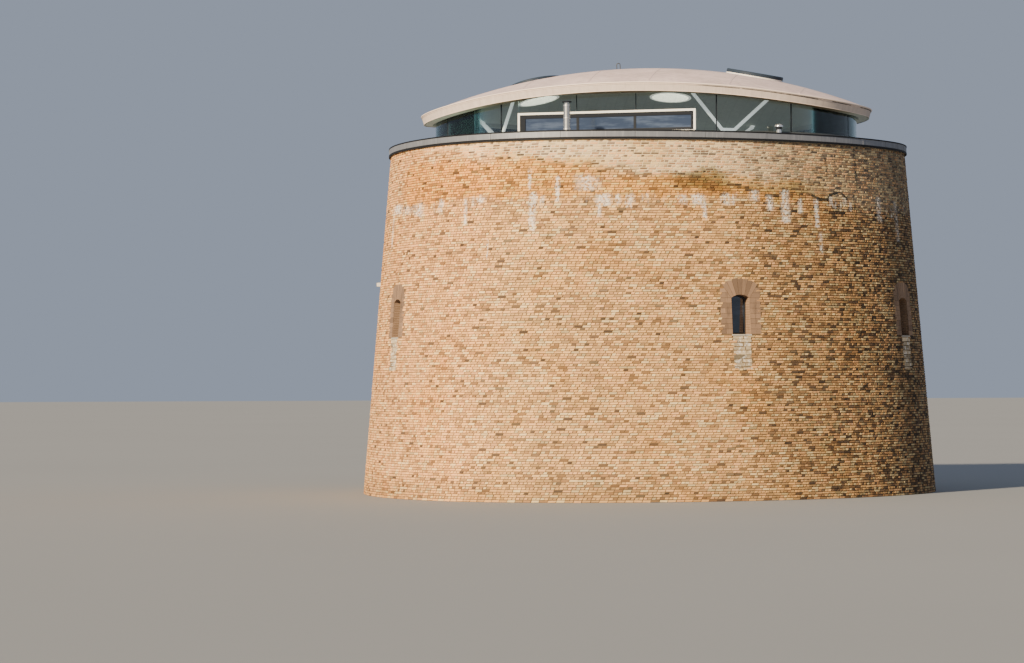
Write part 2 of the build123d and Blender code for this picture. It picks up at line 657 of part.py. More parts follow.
def build_soffit():
    """Boarded soffit from the roof's edge in to the ring beam, in straight panels."""
    step = FULL_TURN / SOFFIT_PANELS
    turns = [step * index - FULL_TURN / 2 for index in range(SOFFIT_PANELS + 1)]
    for side in (-1, 1):
        turns.append(screen_corner_turn(SCREEN_TURN, SCREEN_TURN + side * LOBE_TURN))
    turns.sort()
    panels = []
    drop = Vector(0, 0, SOFFIT_THICKNESS)
    for start, end in zip(turns, turns[1:]):
        ends = []
        for turn in (start + SOFFIT_JOINT_TURN, end - SOFFIT_JOINT_TURN):
            outer = soffit_outer(turn)
            inner = soffit_inner(turn)
            ends.append(make_face(Polyline(outer, inner + drop, inner, outer - drop, close=True)))
        panels += loft(ends, ruled=True).solids()
    save("soffit_panels", Compound(children=panels))


# V columns

def strut(foot, head):
    """Round bar that thins towards both ends, from foot to head and a little past it."""
    line = head - foot
    length = line.length + COLUMN_TAPER_LENGTH
    shape = Cone(COLUMN_END_RADIUS, COLUMN_MIDDLE_RADIUS, COLUMN_TAPER_LENGTH,
                 align=(Align.CENTER, Align.CENTER, Align.MIN))
    middle = length - 3 * COLUMN_TAPER_LENGTH
    shape += Pos(0, 0, COLUMN_TAPER_LENGTH) * Cylinder(
        COLUMN_MIDDLE_RADIUS, middle, align=(Align.CENTER, Align.CENTER, Align.MIN))
    shape += Pos(0, 0, COLUMN_TAPER_LENGTH + middle) * Cone(
        COLUMN_MIDDLE_RADIUS, COLUMN_END_RADIUS, 2 * COLUMN_TAPER_LENGTH,
        align=(Align.CENTER, Align.CENTER, Align.MIN))
    return Plane(origin=foot, z_dir=line.normalized()) * shape


def build_columns():
    """Five V columns on the parapet, each of two struts that spread along the ring."""
    above = Box(FAR / 10, FAR / 10, FAR / 10, align=(Align.CENTER, Align.CENTER, Align.MIN))
    middle = Vector(ROOF_CENTRE[0], ROOF_CENTRE[1], CURB_LEVEL)
    for index, turn in enumerate(COLUMN_TURNS):
        foot = middle + outward(turn) * COLUMN_FOOT_RADIUS
        shape = disc(COLUMN_BASE_RADIUS, CURB_LEVEL, CURB_LEVEL + COLUMN_BASE_THICKNESS, (foot.X, foot.Y))
        for side in (-1, 1):
            plan = middle + outward(turn + side * COLUMN_HEAD_TURN) * COLUMN_HEAD_RADIUS
            head = Vector(plan.X, plan.Y, dome_level(plan.X, plan.Y, ROOF_THICKNESS) - SEAT_GAP)
            roof = dome_plane((plan.X, plan.Y), ROOF_THICKNESS + SEAT_GAP) * above
            shape += strut(foot, head) - roof
        save("v_column_" + str(index + 1), shape & (Pos(foot.X, foot.Y, foot.Z) * above))


# Fittings

def build_fittings(dome):
    """Flue with its cap, short vent, roof anchor and wall lamp."""
    x, y = FLUE_PLACE
    flue = disc(FLUE_COLLAR_RADIUS, CURB_LEVEL, CURB_LEVEL + FLUE_COLLAR_HEIGHT, FLUE_PLACE)
    flue += disc(FLUE_RADIUS, CURB_LEVEL, CURB_LEVEL + FLUE_HEIGHT, FLUE_PLACE)
    neck_top = CURB_LEVEL + FLUE_HEIGHT + FLUE_NECK_HEIGHT
    flue += disc(FLUE_NECK_RADIUS, CURB_LEVEL, neck_top, FLUE_PLACE)
    save("flue_pipe", flue)
    cap = Pos(x, y, neck_top) * Cone(FLUE_CAP_RADIUS, FLUE_NECK_RADIUS, FLUE_CAP_HEIGHT,
                                     align=(Align.CENTER, Align.CENTER, Align.MIN))
    save("flue_cap", cap)

    vent_top = CURB_LEVEL + VENT_HEIGHT
    vent_cap = disc(VENT_CAP_RADIUS, vent_top - VENT_CAP_HEIGHT, vent_top, VENT_PLACE)
    vent_cap = fillet(vent_cap.edges().group_by(Axis.Z)[-1], VENT_CAP_ROUND)
    vent = disc(VENT_RADIUS, CURB_LEVEL, vent_top - VENT_CAP_HEIGHT / 2, VENT_PLACE)
    save("vent_cowl", vent + vent_cap)

    plane = dome_plane(ANCHOR_PLACE)
    align = (Align.CENTER, Align.CENTER, Align.MIN)
    plate = Pos(0, 0, -ANCHOR_PLATE_THICKNESS) * Cylinder(
        ANCHOR_PLATE_RADIUS, 2 * ANCHOR_PLATE_THICKNESS, align=align)
    bow = Pos(0, 0, ANCHOR_LEG_HEIGHT) * (Rot(90, 0, 0) * Torus(ANCHOR_BOW_RADIUS, ANCHOR_BAR_RADIUS))
    below = Box(ANCHOR_PLATE_RADIUS * 4, ANCHOR_PLATE_RADIUS, ANCHOR_LEG_HEIGHT, align=align)
    anchor = plate + (bow - below)
    for side in (-1, 1):
        anchor += Pos(side * ANCHOR_BOW_RADIUS, 0, 0) * Cylinder(
            ANCHOR_BAR_RADIUS, ANCHOR_LEG_HEIGHT, align=align)
    save("roof_anchor", plane * anchor - dome)

    point = lobed_point((0, 0), WALL_CORNER_TURN, wall_radius(LAMP_LEVEL), WALL_SPREAD, LAMP_TURN)
    place = Location((point.X, point.Y, LAMP_LEVEL), (0, 0, LAMP_TURN))
    body = Box(LAMP_WIDTH, 2 * LAMP_DEPTH, LAMP_HEIGHT)
    body = fillet(body.edges().filter_by(Axis.X), LAMP_HEIGHT / 4)
    save("wall_lamp", place * body - wall_block(0, GUN_FLOOR_LEVEL))


build_walls()
build_parapet()
build_floors()
build_openings()
build_coping()
roof_dome = dome_block(0)
roof_under = dome_block(ROOF_THICKNESS)
build_roof(roof_dome, roof_under, roof_edge_block())
build_rooflights(roof_dome)
build_curb()
build_ring_beam()
build_glass()
build_screen()
build_soffit()
build_columns()
build_fittings(roof_dome)
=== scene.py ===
import math

import bpy
import numpy as np
from bpy.props import FloatProperty, FloatVectorProperty, IntProperty, PointerProperty
from mathutils import Matrix, Vector


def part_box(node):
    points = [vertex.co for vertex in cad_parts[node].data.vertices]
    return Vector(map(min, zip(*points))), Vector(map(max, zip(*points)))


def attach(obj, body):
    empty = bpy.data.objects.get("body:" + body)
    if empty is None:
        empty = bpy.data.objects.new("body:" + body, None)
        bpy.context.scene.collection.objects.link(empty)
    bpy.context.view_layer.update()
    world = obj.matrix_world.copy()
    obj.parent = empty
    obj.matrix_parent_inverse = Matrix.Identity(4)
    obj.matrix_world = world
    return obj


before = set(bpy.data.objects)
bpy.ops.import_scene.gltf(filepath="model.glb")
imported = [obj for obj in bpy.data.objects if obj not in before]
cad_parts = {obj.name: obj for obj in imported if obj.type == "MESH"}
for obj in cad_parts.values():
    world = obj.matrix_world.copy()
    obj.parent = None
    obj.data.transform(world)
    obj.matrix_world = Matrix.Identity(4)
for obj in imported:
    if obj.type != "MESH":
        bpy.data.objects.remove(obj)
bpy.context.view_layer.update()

bl_info = {
    "name": "Brick gun tower",
    "version": (1, 0, 0),
    "blender": (4, 5, 0),
    "location": "3D View > Sidebar > Tower",
    "description": "Dresses a round-cornered brick tower and its domed roof room",
    "category": "Object",
}

# The tower in metres, as it was built: +Z up, the front along -Y. A turn is an angle in plan, in
# degrees from the front, growing towards +X.
WALL_CORNER_TURN = 92
WALL_CORNER_RADIUS = 5.390
WALL_SPREAD = 4.460
WALL_HEIGHT = 10.0
WALL_BATTER = 4.887
COPING_TOP = 10.190
COPING_OVERHANG = 0.070
CAPPING_RADIUS = WALL_CORNER_RADIUS + COPING_OVERHANG
ROOF_ROOM_RADIUS = 5.0
ROOF_CENTRE = (0.520, -0.250)
ROOF_CORNER_TURN = 48
ROOF_CORNER_RADIUS = 4.286
ROOF_SPREAD = 4.688
ROOF_PLAN_LEVEL = 11.200
ROOF_EDGE_LEAN = 17
ROOF_APEX_LEVEL = 12.455
DOME_CENTRE = (0.400, -0.680)
DOME_RADIUS_ACROSS = 17.300
DOME_RADIUS_ALONG = 21.200
ROOF_THICKNESS = 0.235
RING_BEAM_DEPTH = 0.345
GLASS_INSET = 0.450
GLASS_FOOT_LEVEL = 10.250
SCREEN_TURN = -13.3
SCREEN_DISTANCE = 5.628
SCREEN_LEFT = -2.080
SCREEN_RIGHT = 3.060
SCREEN_HEAD_LEVEL = 10.890
SCREEN_HEADER_LEVEL = 11.370
SCREEN_RAIL = 0.060
# Middle of each rooflight in plan, and the height of its kerb
ROOFLIGHTS = ((-2.970, 1.300, 0.220), (3.450, -2.700, 0.020), (1.080, 2.500, 0.220))
ROOFLIGHT_OPENING_RADIUS = 0.570
KERB_RADIUS = 0.740
LID_RADIUS = 0.825
LAP_HEADING = -7.0
LAP_OFFSETS = (-4.95, -3.05, -1.11, 0.60, 2.80, 4.70)
GLASS_JOINTS = (16.7, 36.6, 59.5, 81.0, 102.5, 124.0, 145.5, 167.0, 188.5, 210.0, 231.5, 252.5,
                273.0, 294.0, 315.0)
# Joints further apart than this have the screen between them
SCREEN_SPAN = 30
WINDOW_TURNS = {"left": -67, "front": 24.4, "right": 62.5, "back_right": 140, "back_left": 218}
WINDOW_WIDTH = 0.560
WINDOW_HEIGHT = 1.090
WINDOW_RISE = 0.090
WINDOW_SILL = 4.580
JAMB_WIDTH = 0.330
ARCH_DEPTH = 0.460
SHOULDER = 0.140
DOOR_TURN = 172
DOOR_WIDTH = 1.050
DOOR_HEIGHT = 2.050
DOOR_RISE = 0.150
DOOR_SILL = 3.550
DOOR_REVEAL = 0.450
COLUMN_TURNS = (-57, 23, 86, 160, 232)
COLUMN_FOOT_RADIUS = 5.300
COLUMN_HEAD_RADIUS = 5.740
COLUMN_HEAD_TURN = 13.5
FLUE_PLACE = (-1.898, -6.900)
FLUE_RADIUS = 0.093
FLUE_HEIGHT = 0.780
VENT_PLACE = (4.000, -5.955)
VENT_RADIUS = 0.072
VENT_HEIGHT = 0.265
VENT_CAP_HEIGHT = 0.085
LAMP_TURN = -90

BRICK_SEED = 1808
# How far the facing's blocks go into the mortar, and how far the infill reaches under a sill
FACING_DEPTH = 0.020
INFILL_HEIGHT = 0.950
# The repaired band's lower edge: its level at the front, and its fall by the degree, up to a turn
REPAIR_LEVEL = 9.12
REPAIR_SLOPE = 0.0155
REPAIR_LIMIT = 60
# Painted light: the glow of the room's ceiling, the soffit's sides and the ring beam, standing in for
# daylight, as a share of their colour
ROOM_GLOW = 0.10
# The side of each corner of a block's face: left or right, then down or up
LEFT_RIGHT = np.array([-1, 1, 1, -1])
DOWN_UP = np.array([-1, -1, 1, 1])
# What each arc of an outline turns through
ARC = 60
QUARTER_TURN = 90
FULL_TURN = 360
ARC_COUNT = FULL_TURN // ARC
DEGREES = np.arange(FULL_TURN)
UP = np.array([0.0, 0.0, 1.0])
# Turn at which the first arc of the wall's outline starts
WALL_START = WALL_CORNER_TURN - ARC / 2


# Settings

def length(name, note, default, low, high):
    """A size in metres, with its range."""
    return FloatProperty(name=name, description=note, default=default, min=low, max=high,
                         unit="LENGTH", subtype="DISTANCE")


def tint(name, note, default):
    """A colour in linear light."""
    return FloatVectorProperty(name=name, description=note, default=default, size=3, min=0, max=1,
                               subtype="COLOR")


class TowerBrickwork(bpy.types.PropertyGroup):
    course: length("Course", "Height of a brick and its bed joint", 0.070, 0.05, 0.1)
    stretcher: length("Stretcher", "Length of a brick and its upright joint", 0.235, 0.2, 0.3)
    joint: length("Joint", "Width of the mortar joints", 0.014, 0.004, 0.03)
    loose: length("Loose", "Extra width of the joints in the repaired band", 0.008, 0, 0.02)
    proud: length("Proud", "How far a brick's face stands out of its mortar", 0.012, 0.002, 0.02)
    ragged: length("Ragged", "How far a brick's corners stray", 0.0024, 0, 0.01)
    lean: length("Lean", "How far a brick's face leans out at one edge", 0.0022, 0, 0.01)
    buff: tint("Buff", "Most of the bricks", (0.800, 0.415, 0.155))
    pale: tint("Pale", "The palest bricks", (0.930, 0.620, 0.290))
    pink: tint("Pink", "Pinkish bricks", (0.800, 0.390, 0.160))
    brown: tint("Brown", "Brown bricks", (0.360, 0.170, 0.065))
    burnt: tint("Burnt", "Dark overburnt bricks", (0.110, 0.060, 0.035))
    mortar: tint("Mortar", "Weathered mortar in the joints", (0.210, 0.120, 0.055))
    fresh: tint("Fresh mortar", "Pale mortar in the repaired band", (0.840, 0.610, 0.360))
    limewash: tint("Limewash", "Old limewash inside", (0.560, 0.530, 0.470))
    rubbed: tint("Rubbed brick", "Smooth rubbed bricks round the openings", (0.255, 0.160, 0.102))
    infill: tint("Infill", "Pale blocks under the sills", (0.430, 0.335, 0.215))


class TowerWeather(bpy.types.PropertyGroup):
    salt: tint("Salts", "White salts that run down the wall", (0.900, 0.860, 0.800))
    lichen: tint("Lichen", "What golden lichen leaves of the wall's colour", (0.960, 0.740, 0.280))
    algae: tint("Algae", "What dark growth leaves of the wall's colour", (0.330, 0.330, 0.260))
    # This tint is partly the wall's duller colour over the middle and the right, and partly painted shade
    # there
    dull: tint("Dulling", "What a grey film leaves of the middle and the right", (0.850, 0.930, 0.990))
    # This tint darkens real grime, and also paints shade on the side away from the key light and the shadow
    # under a broken ledge
    soot_and_shade: tint("Soot", "What grime leaves of the damp side", (0.120, 0.150, 0.200))


class TowerRoof(bpy.types.PropertyGroup):
    seam_width: length("Seam width", "Width of a welded lap", 0.060, 0.02, 0.2)
    bead_radius: length("Bead radius", "Radius of the edge bead", 0.020, 0.005, 0.05)
    membrane: tint("Membrane", "Pale roofing membrane", (0.790, 0.610, 0.580))
    fascia: tint("Fascia", "Membrane on the leaning edge", (0.690, 0.570, 0.495))
    # This tint also colours the pale, glowing sides and back of the soffit, which is painted light
    ceiling: tint("Ceiling", "Boarded ceiling under the shell", (0.480, 0.500, 0.430))
    soffit: tint("Soffit", "Sheet soffit outside the glass", (0.160, 0.115, 0.065))
    kerb: tint("Kerb", "Flashing round the rooflights", (0.760, 0.740, 0.700))
    lid: tint("Lid", "Dark glazed lids", (0.028, 0.040, 0.060))


class TowerMetalwork(bpy.types.PropertyGroup):
    capping: tint("Capping", "Dull sheet over the parapet", (0.215, 0.225, 0.255))
    # This dark tint colours the capping's lip and also paints shade: the skirt under the capping, its side
    # away from the key light and the groove at the roof's edge
    nosing_and_shade: tint("Nosing", "Dark upper lip of the capping", (0.014, 0.015, 0.018))
    frame_white: tint("Screen frame", "White frame of the screen", (0.780, 0.780, 0.760))
    # This dark tint also paints shade: the strips inside the screen and the ring in the vent's slot
    sash_dark_and_shade: tint("Sashes", "Dark sashes and window frames", (0.020, 0.023, 0.030))
    column: tint("Columns", "Pale paint on the V columns", (0.860, 0.860, 0.840))
    glass: tint("Glass", "Tint of one face of the glass", (0.930, 0.975, 0.965))
    paving: tint("Paving", "Flags behind the capping", (0.330, 0.310, 0.280))


class TowerStage(bpy.types.PropertyGroup):
    floor: tint("Floor", "Pale floor", (0.270, 0.275, 0.280))
    sky: tint("Backdrop", "Soft light from all round", (0.290, 0.335, 0.420))
    sun: FloatProperty(name="Key light", description="Strength of the warm key light",
                       default=9.2, min=0, max=20)
    sun_turn: FloatProperty(name="Key turn", description="Turn that the key light comes from",
                            default=math.radians(-34), subtype="ANGLE")
    sun_height: FloatProperty(name="Key height", description="Height of the key light",
                              default=math.radians(22), subtype="ANGLE")
    grain: IntProperty(name="Seed", description="Seed of the bricks' sizes and tones",
                       default=BRICK_SEED, min=0)


SETTINGS = {
    "tower_brickwork": TowerBrickwork,
    "tower_weather": TowerWeather,
    "tower_roof": TowerRoof,
    "tower_metalwork": TowerMetalwork,
    "tower_stage": TowerStage,
}


# Plan outlines and the dome, on whole arrays

def outward(turn):
    """Unit vector in plan that looks out at a turn: its sine along X, minus its cosine along Y."""
    angle = np.radians(turn)
    return np.stack([np.sin(angle), -np.cos(angle)], -1)


def sideways(turn):
    """Unit vector in plan along a wall that faces a turn: cosine along X, sine along Y."""
    angle = np.radians(turn)
    return np.stack([np.cos(angle), np.sin(angle)], -1)


def lobed(centre, corner_turn, radius, spread, turn):
    """Plan points of a rounded triangle where it faces each turn.

    Each corner is an arc of the radius about a point one reach out. Each side is an arc of radius
    plus spread about the opposite corner's point.
    """
    turn = np.asarray(turn, float)
    reach = spread / math.sqrt(3)
    offset = (turn - corner_turn + ARC / 2) % (2 * ARC)
    corner = turn - offset + ARC / 2
    round_corner = offset <= ARC
    middle = np.where(round_corner[..., None], outward(corner), outward(corner + 4 * ARC)) * reach
    bow = np.where(round_corner, radius, np.asarray(radius) + spread)
    return np.asarray(centre) + middle + outward(turn) * bow[..., None]


def wall_radius(level):
    """Corner radius of the wall's plan at a level, which grows by the batter towards the foot."""
    batter = math.tan(math.radians(WALL_BATTER))
    return WALL_CORNER_RADIUS + (WALL_HEIGHT - np.asarray(level, float)) * batter


def wall_plan(radius, turn):
    """Plan points of the wall's outline with a corner radius, where it faces each turn."""
    return lobed((0, 0), WALL_CORNER_TURN, radius, WALL_SPREAD, turn)


def roof_plan(radius, turn):
    """Plan points of the roof's outline with a corner radius, where it faces each turn."""
    return lobed(ROOF_CENTRE, ROOF_CORNER_TURN, radius, ROOF_SPREAD, turn)


def from_roof_centre(turn, reach):
    """Plan point a reach out from the roof's centre."""
    return np.asarray(ROOF_CENTRE) + outward(turn) * reach


def inside(outline, radius, step, plan):
    """True for plan points behind an outline's tangents, taken every few degrees."""
    turns = np.arange(0, FULL_TURN, step)
    reach = (outline(radius, turns) * outward(turns)).sum(-1)
    return (plan @ outward(turns).T <= reach).all(-1)


def raised(plan, level):
    """Plan points with a height, one for all or each its own."""
    return np.concatenate([plan, np.broadcast_to(level, plan.shape[:-1])[..., None]], -1)


def flat(plan):
    """Plan vectors with no height."""
    return raised(plan, 0.0)


def wall_arcs(level):
    """Turn at which each arc of the wall starts, its radius, and the length walked to its start."""
    starts = WALL_START + ARC * np.arange(ARC_COUNT + 1)
    radius = wall_radius(level)[..., None]
    bows = radius + WALL_SPREAD * (np.arange(ARC_COUNT) % 2)
    walked = np.concatenate([np.zeros_like(radius), np.cumsum(bows, -1) * math.radians(ARC)], -1)
    return starts, bows, walked


def wall_turn(anchor, distance, level):
    """Turn reached by walking a distance along the wall's outline from an anchor turn at a level.

    The outline is all arcs, so the turn grows by the distance over the radius of each.
    """
    distance, level = np.broadcast_arrays(np.asarray(distance, float), np.asarray(level, float))
    starts, bows, walked = wall_arcs(level)
    offset = (anchor - starts[0]) % FULL_TURN
    first = int(offset // ARC)
    place = walked[..., first] + np.radians(offset - first * ARC) * bows[..., first]
    place = (place + distance) % walked[..., -1]
    arc = (place[..., None] >= walked[..., 1:]).sum(-1).clip(0, ARC_COUNT - 1)
    gone = place - np.take_along_axis(walked, arc[..., None], -1)[..., 0]
    bow = np.take_along_axis(bows, arc[..., None], -1)[..., 0]
    return starts[arc] + np.degrees(gone / bow)


def on_wall(anchor, distance, level, out):
    """Points on the battered wall: walked along it from an anchor turn, at a level, and stood out."""
    turn = wall_turn(anchor, distance, level)
    return raised(wall_plan(wall_radius(level) + out, turn), level)


def dome_level(plan, depth=0.0):
    """Height of the dome over plan points, or of the surface parallel to it at a depth.

    It is a circle across, turned about a level axis, so one root stands inside another.
    """
    across = np.sqrt((DOME_RADIUS_ACROSS - depth) ** 2 - (plan[..., 0] - DOME_CENTRE[0]) ** 2)
    along = across + DOME_RADIUS_ALONG - DOME_RADIUS_ACROSS
    rise = np.sqrt(along ** 2 - (plan[..., 1] - DOME_CENTRE[1]) ** 2)
    return ROOF_APEX_LEVEL - DOME_RADIUS_ALONG + rise


def dome_normal(plan):
    """Unit normals of the dome over plan points."""
    across = np.sqrt(DOME_RADIUS_ACROSS ** 2 - (plan[..., 0] - DOME_CENTRE[0]) ** 2)
    turn = np.arcsin((plan[..., 1] - DOME_CENTRE[1]) / (across + DOME_RADIUS_ALONG - DOME_RADIUS_ACROSS))
    tilt = np.arcsin((plan[..., 0] - DOME_CENTRE[0]) / DOME_RADIUS_ACROSS)
    return np.stack([np.sin(tilt), np.cos(tilt) * np.sin(turn), np.cos(tilt) * np.cos(turn)], -1)


def dome_frame(place):
    """Matrix of the frame on the dome at a plan point, with Z square to the surface."""
    plan = np.array(place)
    normal = Vector(dome_normal(plan))
    side = Vector((1, 0, -normal.x / normal.z)).normalized()
    axes = Matrix((side, normal.cross(side), normal)).transposed().to_4x4()
    return Matrix.Translation(raised(plan, dome_level(plan))) @ axes


def roof_edge(turn, depth=0.0):
    """Points of the roof's leaning edge, at the top of the shell or at a depth below it.

    The plan grows with height by the lean, so the level is found by going round a few times.
    """
    rounds = 8
    lean = math.tan(math.radians(ROOF_EDGE_LEAN))
    level = np.full(np.shape(turn), ROOF_PLAN_LEVEL)
    for _ in range(rounds):
        plan = roof_plan(ROOF_CORNER_RADIUS + (level - ROOF_PLAN_LEVEL) * lean, turn)
        level = dome_level(plan, depth)
    return raised(plan, level)


def glass_line(polar):
    """Plan point where a ray from the roof's centre crosses the glass line.

    The line bows out everywhere, so the nearest of its tangents that the ray meets gives the reach.
    """
    step, least_facing = 0.5, 0.05
    turns = np.arange(0, FULL_TURN, step)
    line = roof_plan(ROOF_CORNER_RADIUS - GLASS_INSET, turns)
    reach = ((line - np.asarray(ROOF_CENTRE)) * outward(turns)).sum(-1)
    facing = outward(turns) @ outward(polar)
    ahead = facing > least_facing
    return from_roof_centre(polar, (reach[ahead] / facing[ahead]).min())


# Meshes

def new_piece(name, points, faces, material, slot, colours=None, smooth=False):
    """Mesh object from point and face arrays, riding with the tower and wearing one material."""
    points = np.asarray(points, np.float32).reshape(-1, 3)
    faces = np.asarray(faces, np.int32)
    mesh = bpy.data.meshes.new(name)
    mesh.vertices.add(len(points))
    mesh.vertices.foreach_set("co", points.ravel())
    mesh.loops.add(faces.size)
    mesh.loops.foreach_set("vertex_index", faces.ravel())
    mesh.polygons.add(len(faces))
    mesh.polygons.foreach_set("loop_start", np.arange(0, faces.size, faces.shape[1], dtype=np.int32))
    mesh.polygons.foreach_set("use_smooth", np.full(len(faces), smooth))
    mesh.update(calc_edges=True)
    mesh.validate()
    if colours is not None:
        tones = mesh.color_attributes.new("Tone", "FLOAT_COLOR", "POINT")
        tones.data.foreach_set("color", np.asarray(colours, np.float32).ravel())
    piece = bpy.data.objects.new(name, mesh)
    bpy.context.scene.collection.objects.link(piece)
    mesh.materials.append(material)
    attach(piece, "root")
    return piece


BLOCK_FACES = np.array([(4, 5, 6, 7), (0, 3, 2, 1), (0, 1, 5, 4), (1, 2, 6, 5), (2, 3, 7, 6),
                        (3, 0, 4, 7)])


def block_faces(count):
    """Faces of that many eight-cornered blocks, each with its back corners first."""
    return (BLOCK_FACES[None] + 8 * np.arange(count)[:, None, None]).reshape(-1, 4)


def new_blocks(name, blocks, material, slot, tones=None):
    """Piece of eight-cornered blocks, with a colour or a grey for each if tones are given."""
    colours = None
    if tones is not None:
        colours = np.ones((len(blocks), 8, 4))
        colours[..., :3] = tones[:, None]
    new_piece(name, blocks, block_faces(len(blocks)), material, slot, colours)


def wall_blocks(anchor, across, levels, front):
    """Corners of blocks on the wall. Each block has four corners, by distance along and level, taken
    once inside the mortar and once at the front depth."""
    return np.concatenate([on_wall(anchor, across, levels, out) for out in (-FACING_DEPTH, front)], 1)


def quad(left, right, foot, head):
    """Corners of a rectangle, from its lower left round to its upper left."""
    return [(left, foot), (right, foot), (right, head), (left, head)]


def box_points(centre, turn, half_length, half_depth, low, high):
    """Eight corners of an upright box that faces a turn, back corners first."""
    along, out = flat(sideways(turn)), flat(outward(turn))
    return np.array([flat(centre) + along * side * half_length + out * depth + UP * level
                     for depth in (-half_depth, half_depth) for side, level in quad(-1, 1, low, high)])


def ring_faces(rows, columns, closed=True):
    """Faces between the rows and columns of a grid of points, closed round its rows if asked."""
    row, column = np.arange(rows if closed else rows - 1), np.arange(columns)
    row, column = (grid.ravel() for grid in np.meshgrid(row, column, indexing="ij"))
    after, beside = (row + 1) % rows, (column + 1) % columns
    return np.stack([row * columns + column, row * columns + beside,
                     after * columns + beside, after * columns + column], -1)


def sweep(path, sides, profile, ups=UP, closed=True):
    """Profile carried along a path: each path point plus the profile's first number times its side
    vector plus the second times its up vector. An open sweep of an even profile gets flat ends."""
    profile = np.asarray(profile, float)
    ups = np.broadcast_to(ups, path.shape)
    grid = path[:, None] + profile[None, :, :1] * sides[:, None] + profile[None, :, 1:] * ups[:, None]
    rows, columns = grid.shape[:2]
    faces = [ring_faces(rows, columns, closed)]
    if not closed:
        first = np.arange(columns)
        for ring in (first[::-1], first + (rows - 1) * columns):
            faces.append([(ring[0], *ring[index:index + 3]) for index in range(1, columns - 2, 2)])
    return grid.reshape(-1, 3), np.concatenate(faces)


def joined(parts):
    """Points and faces of several meshes as one."""
    points, faces, count = [], [], 0
    for more_points, more_faces in parts:
        points.append(np.reshape(more_points, (-1, 3)))
        faces.append(np.asarray(more_faces) + count)
        count += len(points[-1])
    return np.concatenate(points), np.concatenate(faces)


def circle(radius, count):
    """Points of a circle in the profile plane."""
    angle = np.arange(count) * 2 * math.pi / count
    return np.stack([np.cos(angle), np.sin(angle)], -1) * radius


def turned(profile, place, count=48):
    """A closed profile of radius and height turned about the Z axis of a frame."""
    profile = np.asarray(profile, float)
    points = raised(profile[None, :, :1] * circle(1.0, count)[:, None], profile[:, 1])
    points = points @ np.array(place.to_3x3()).T + np.array(place.translation)
    return points.reshape(-1, 3), ring_faces(count, len(profile))


# Shaders

class Value:
    """A shader value. Its operators add Math nodes, so a mask is written as a formula."""

    def __init__(self, paint, socket):
        self.paint = paint
        self.socket = socket

    def math(self, operation, first, second=0.0, clamp=False):
        settings = {"operation": operation, "use_clamp": clamp}
        return self.paint.node("ShaderNodeMath", settings, {0: first, 1: second})

    def __add__(self, other):
        return self.math("ADD", self, other)

    def __radd__(self, other):
        return self.math("ADD", other, self)

    def __sub__(self, other):
        return self.math("SUBTRACT", self, other)

    def __rsub__(self, other):
        return self.math("SUBTRACT", other, self)

    def __mul__(self, other):
        return self.math("MULTIPLY", self, other)

    def __rmul__(self, other):
        return self.math("MULTIPLY", other, self)

    def __truediv__(self, other):
        return self.math("DIVIDE", self, other)

    def __mod__(self, other):
        return self.math("FLOORED_MODULO", self, other)

    def size(self):
        return self.math("ABSOLUTE", self)

    def most(self, other):
        return self.math("MAXIMUM", self, other)

    def least(self, other):
        return self.math("MINIMUM", self, other)

    def clamped(self):
        return self.math("ADD", self, 0.0, clamp=True)


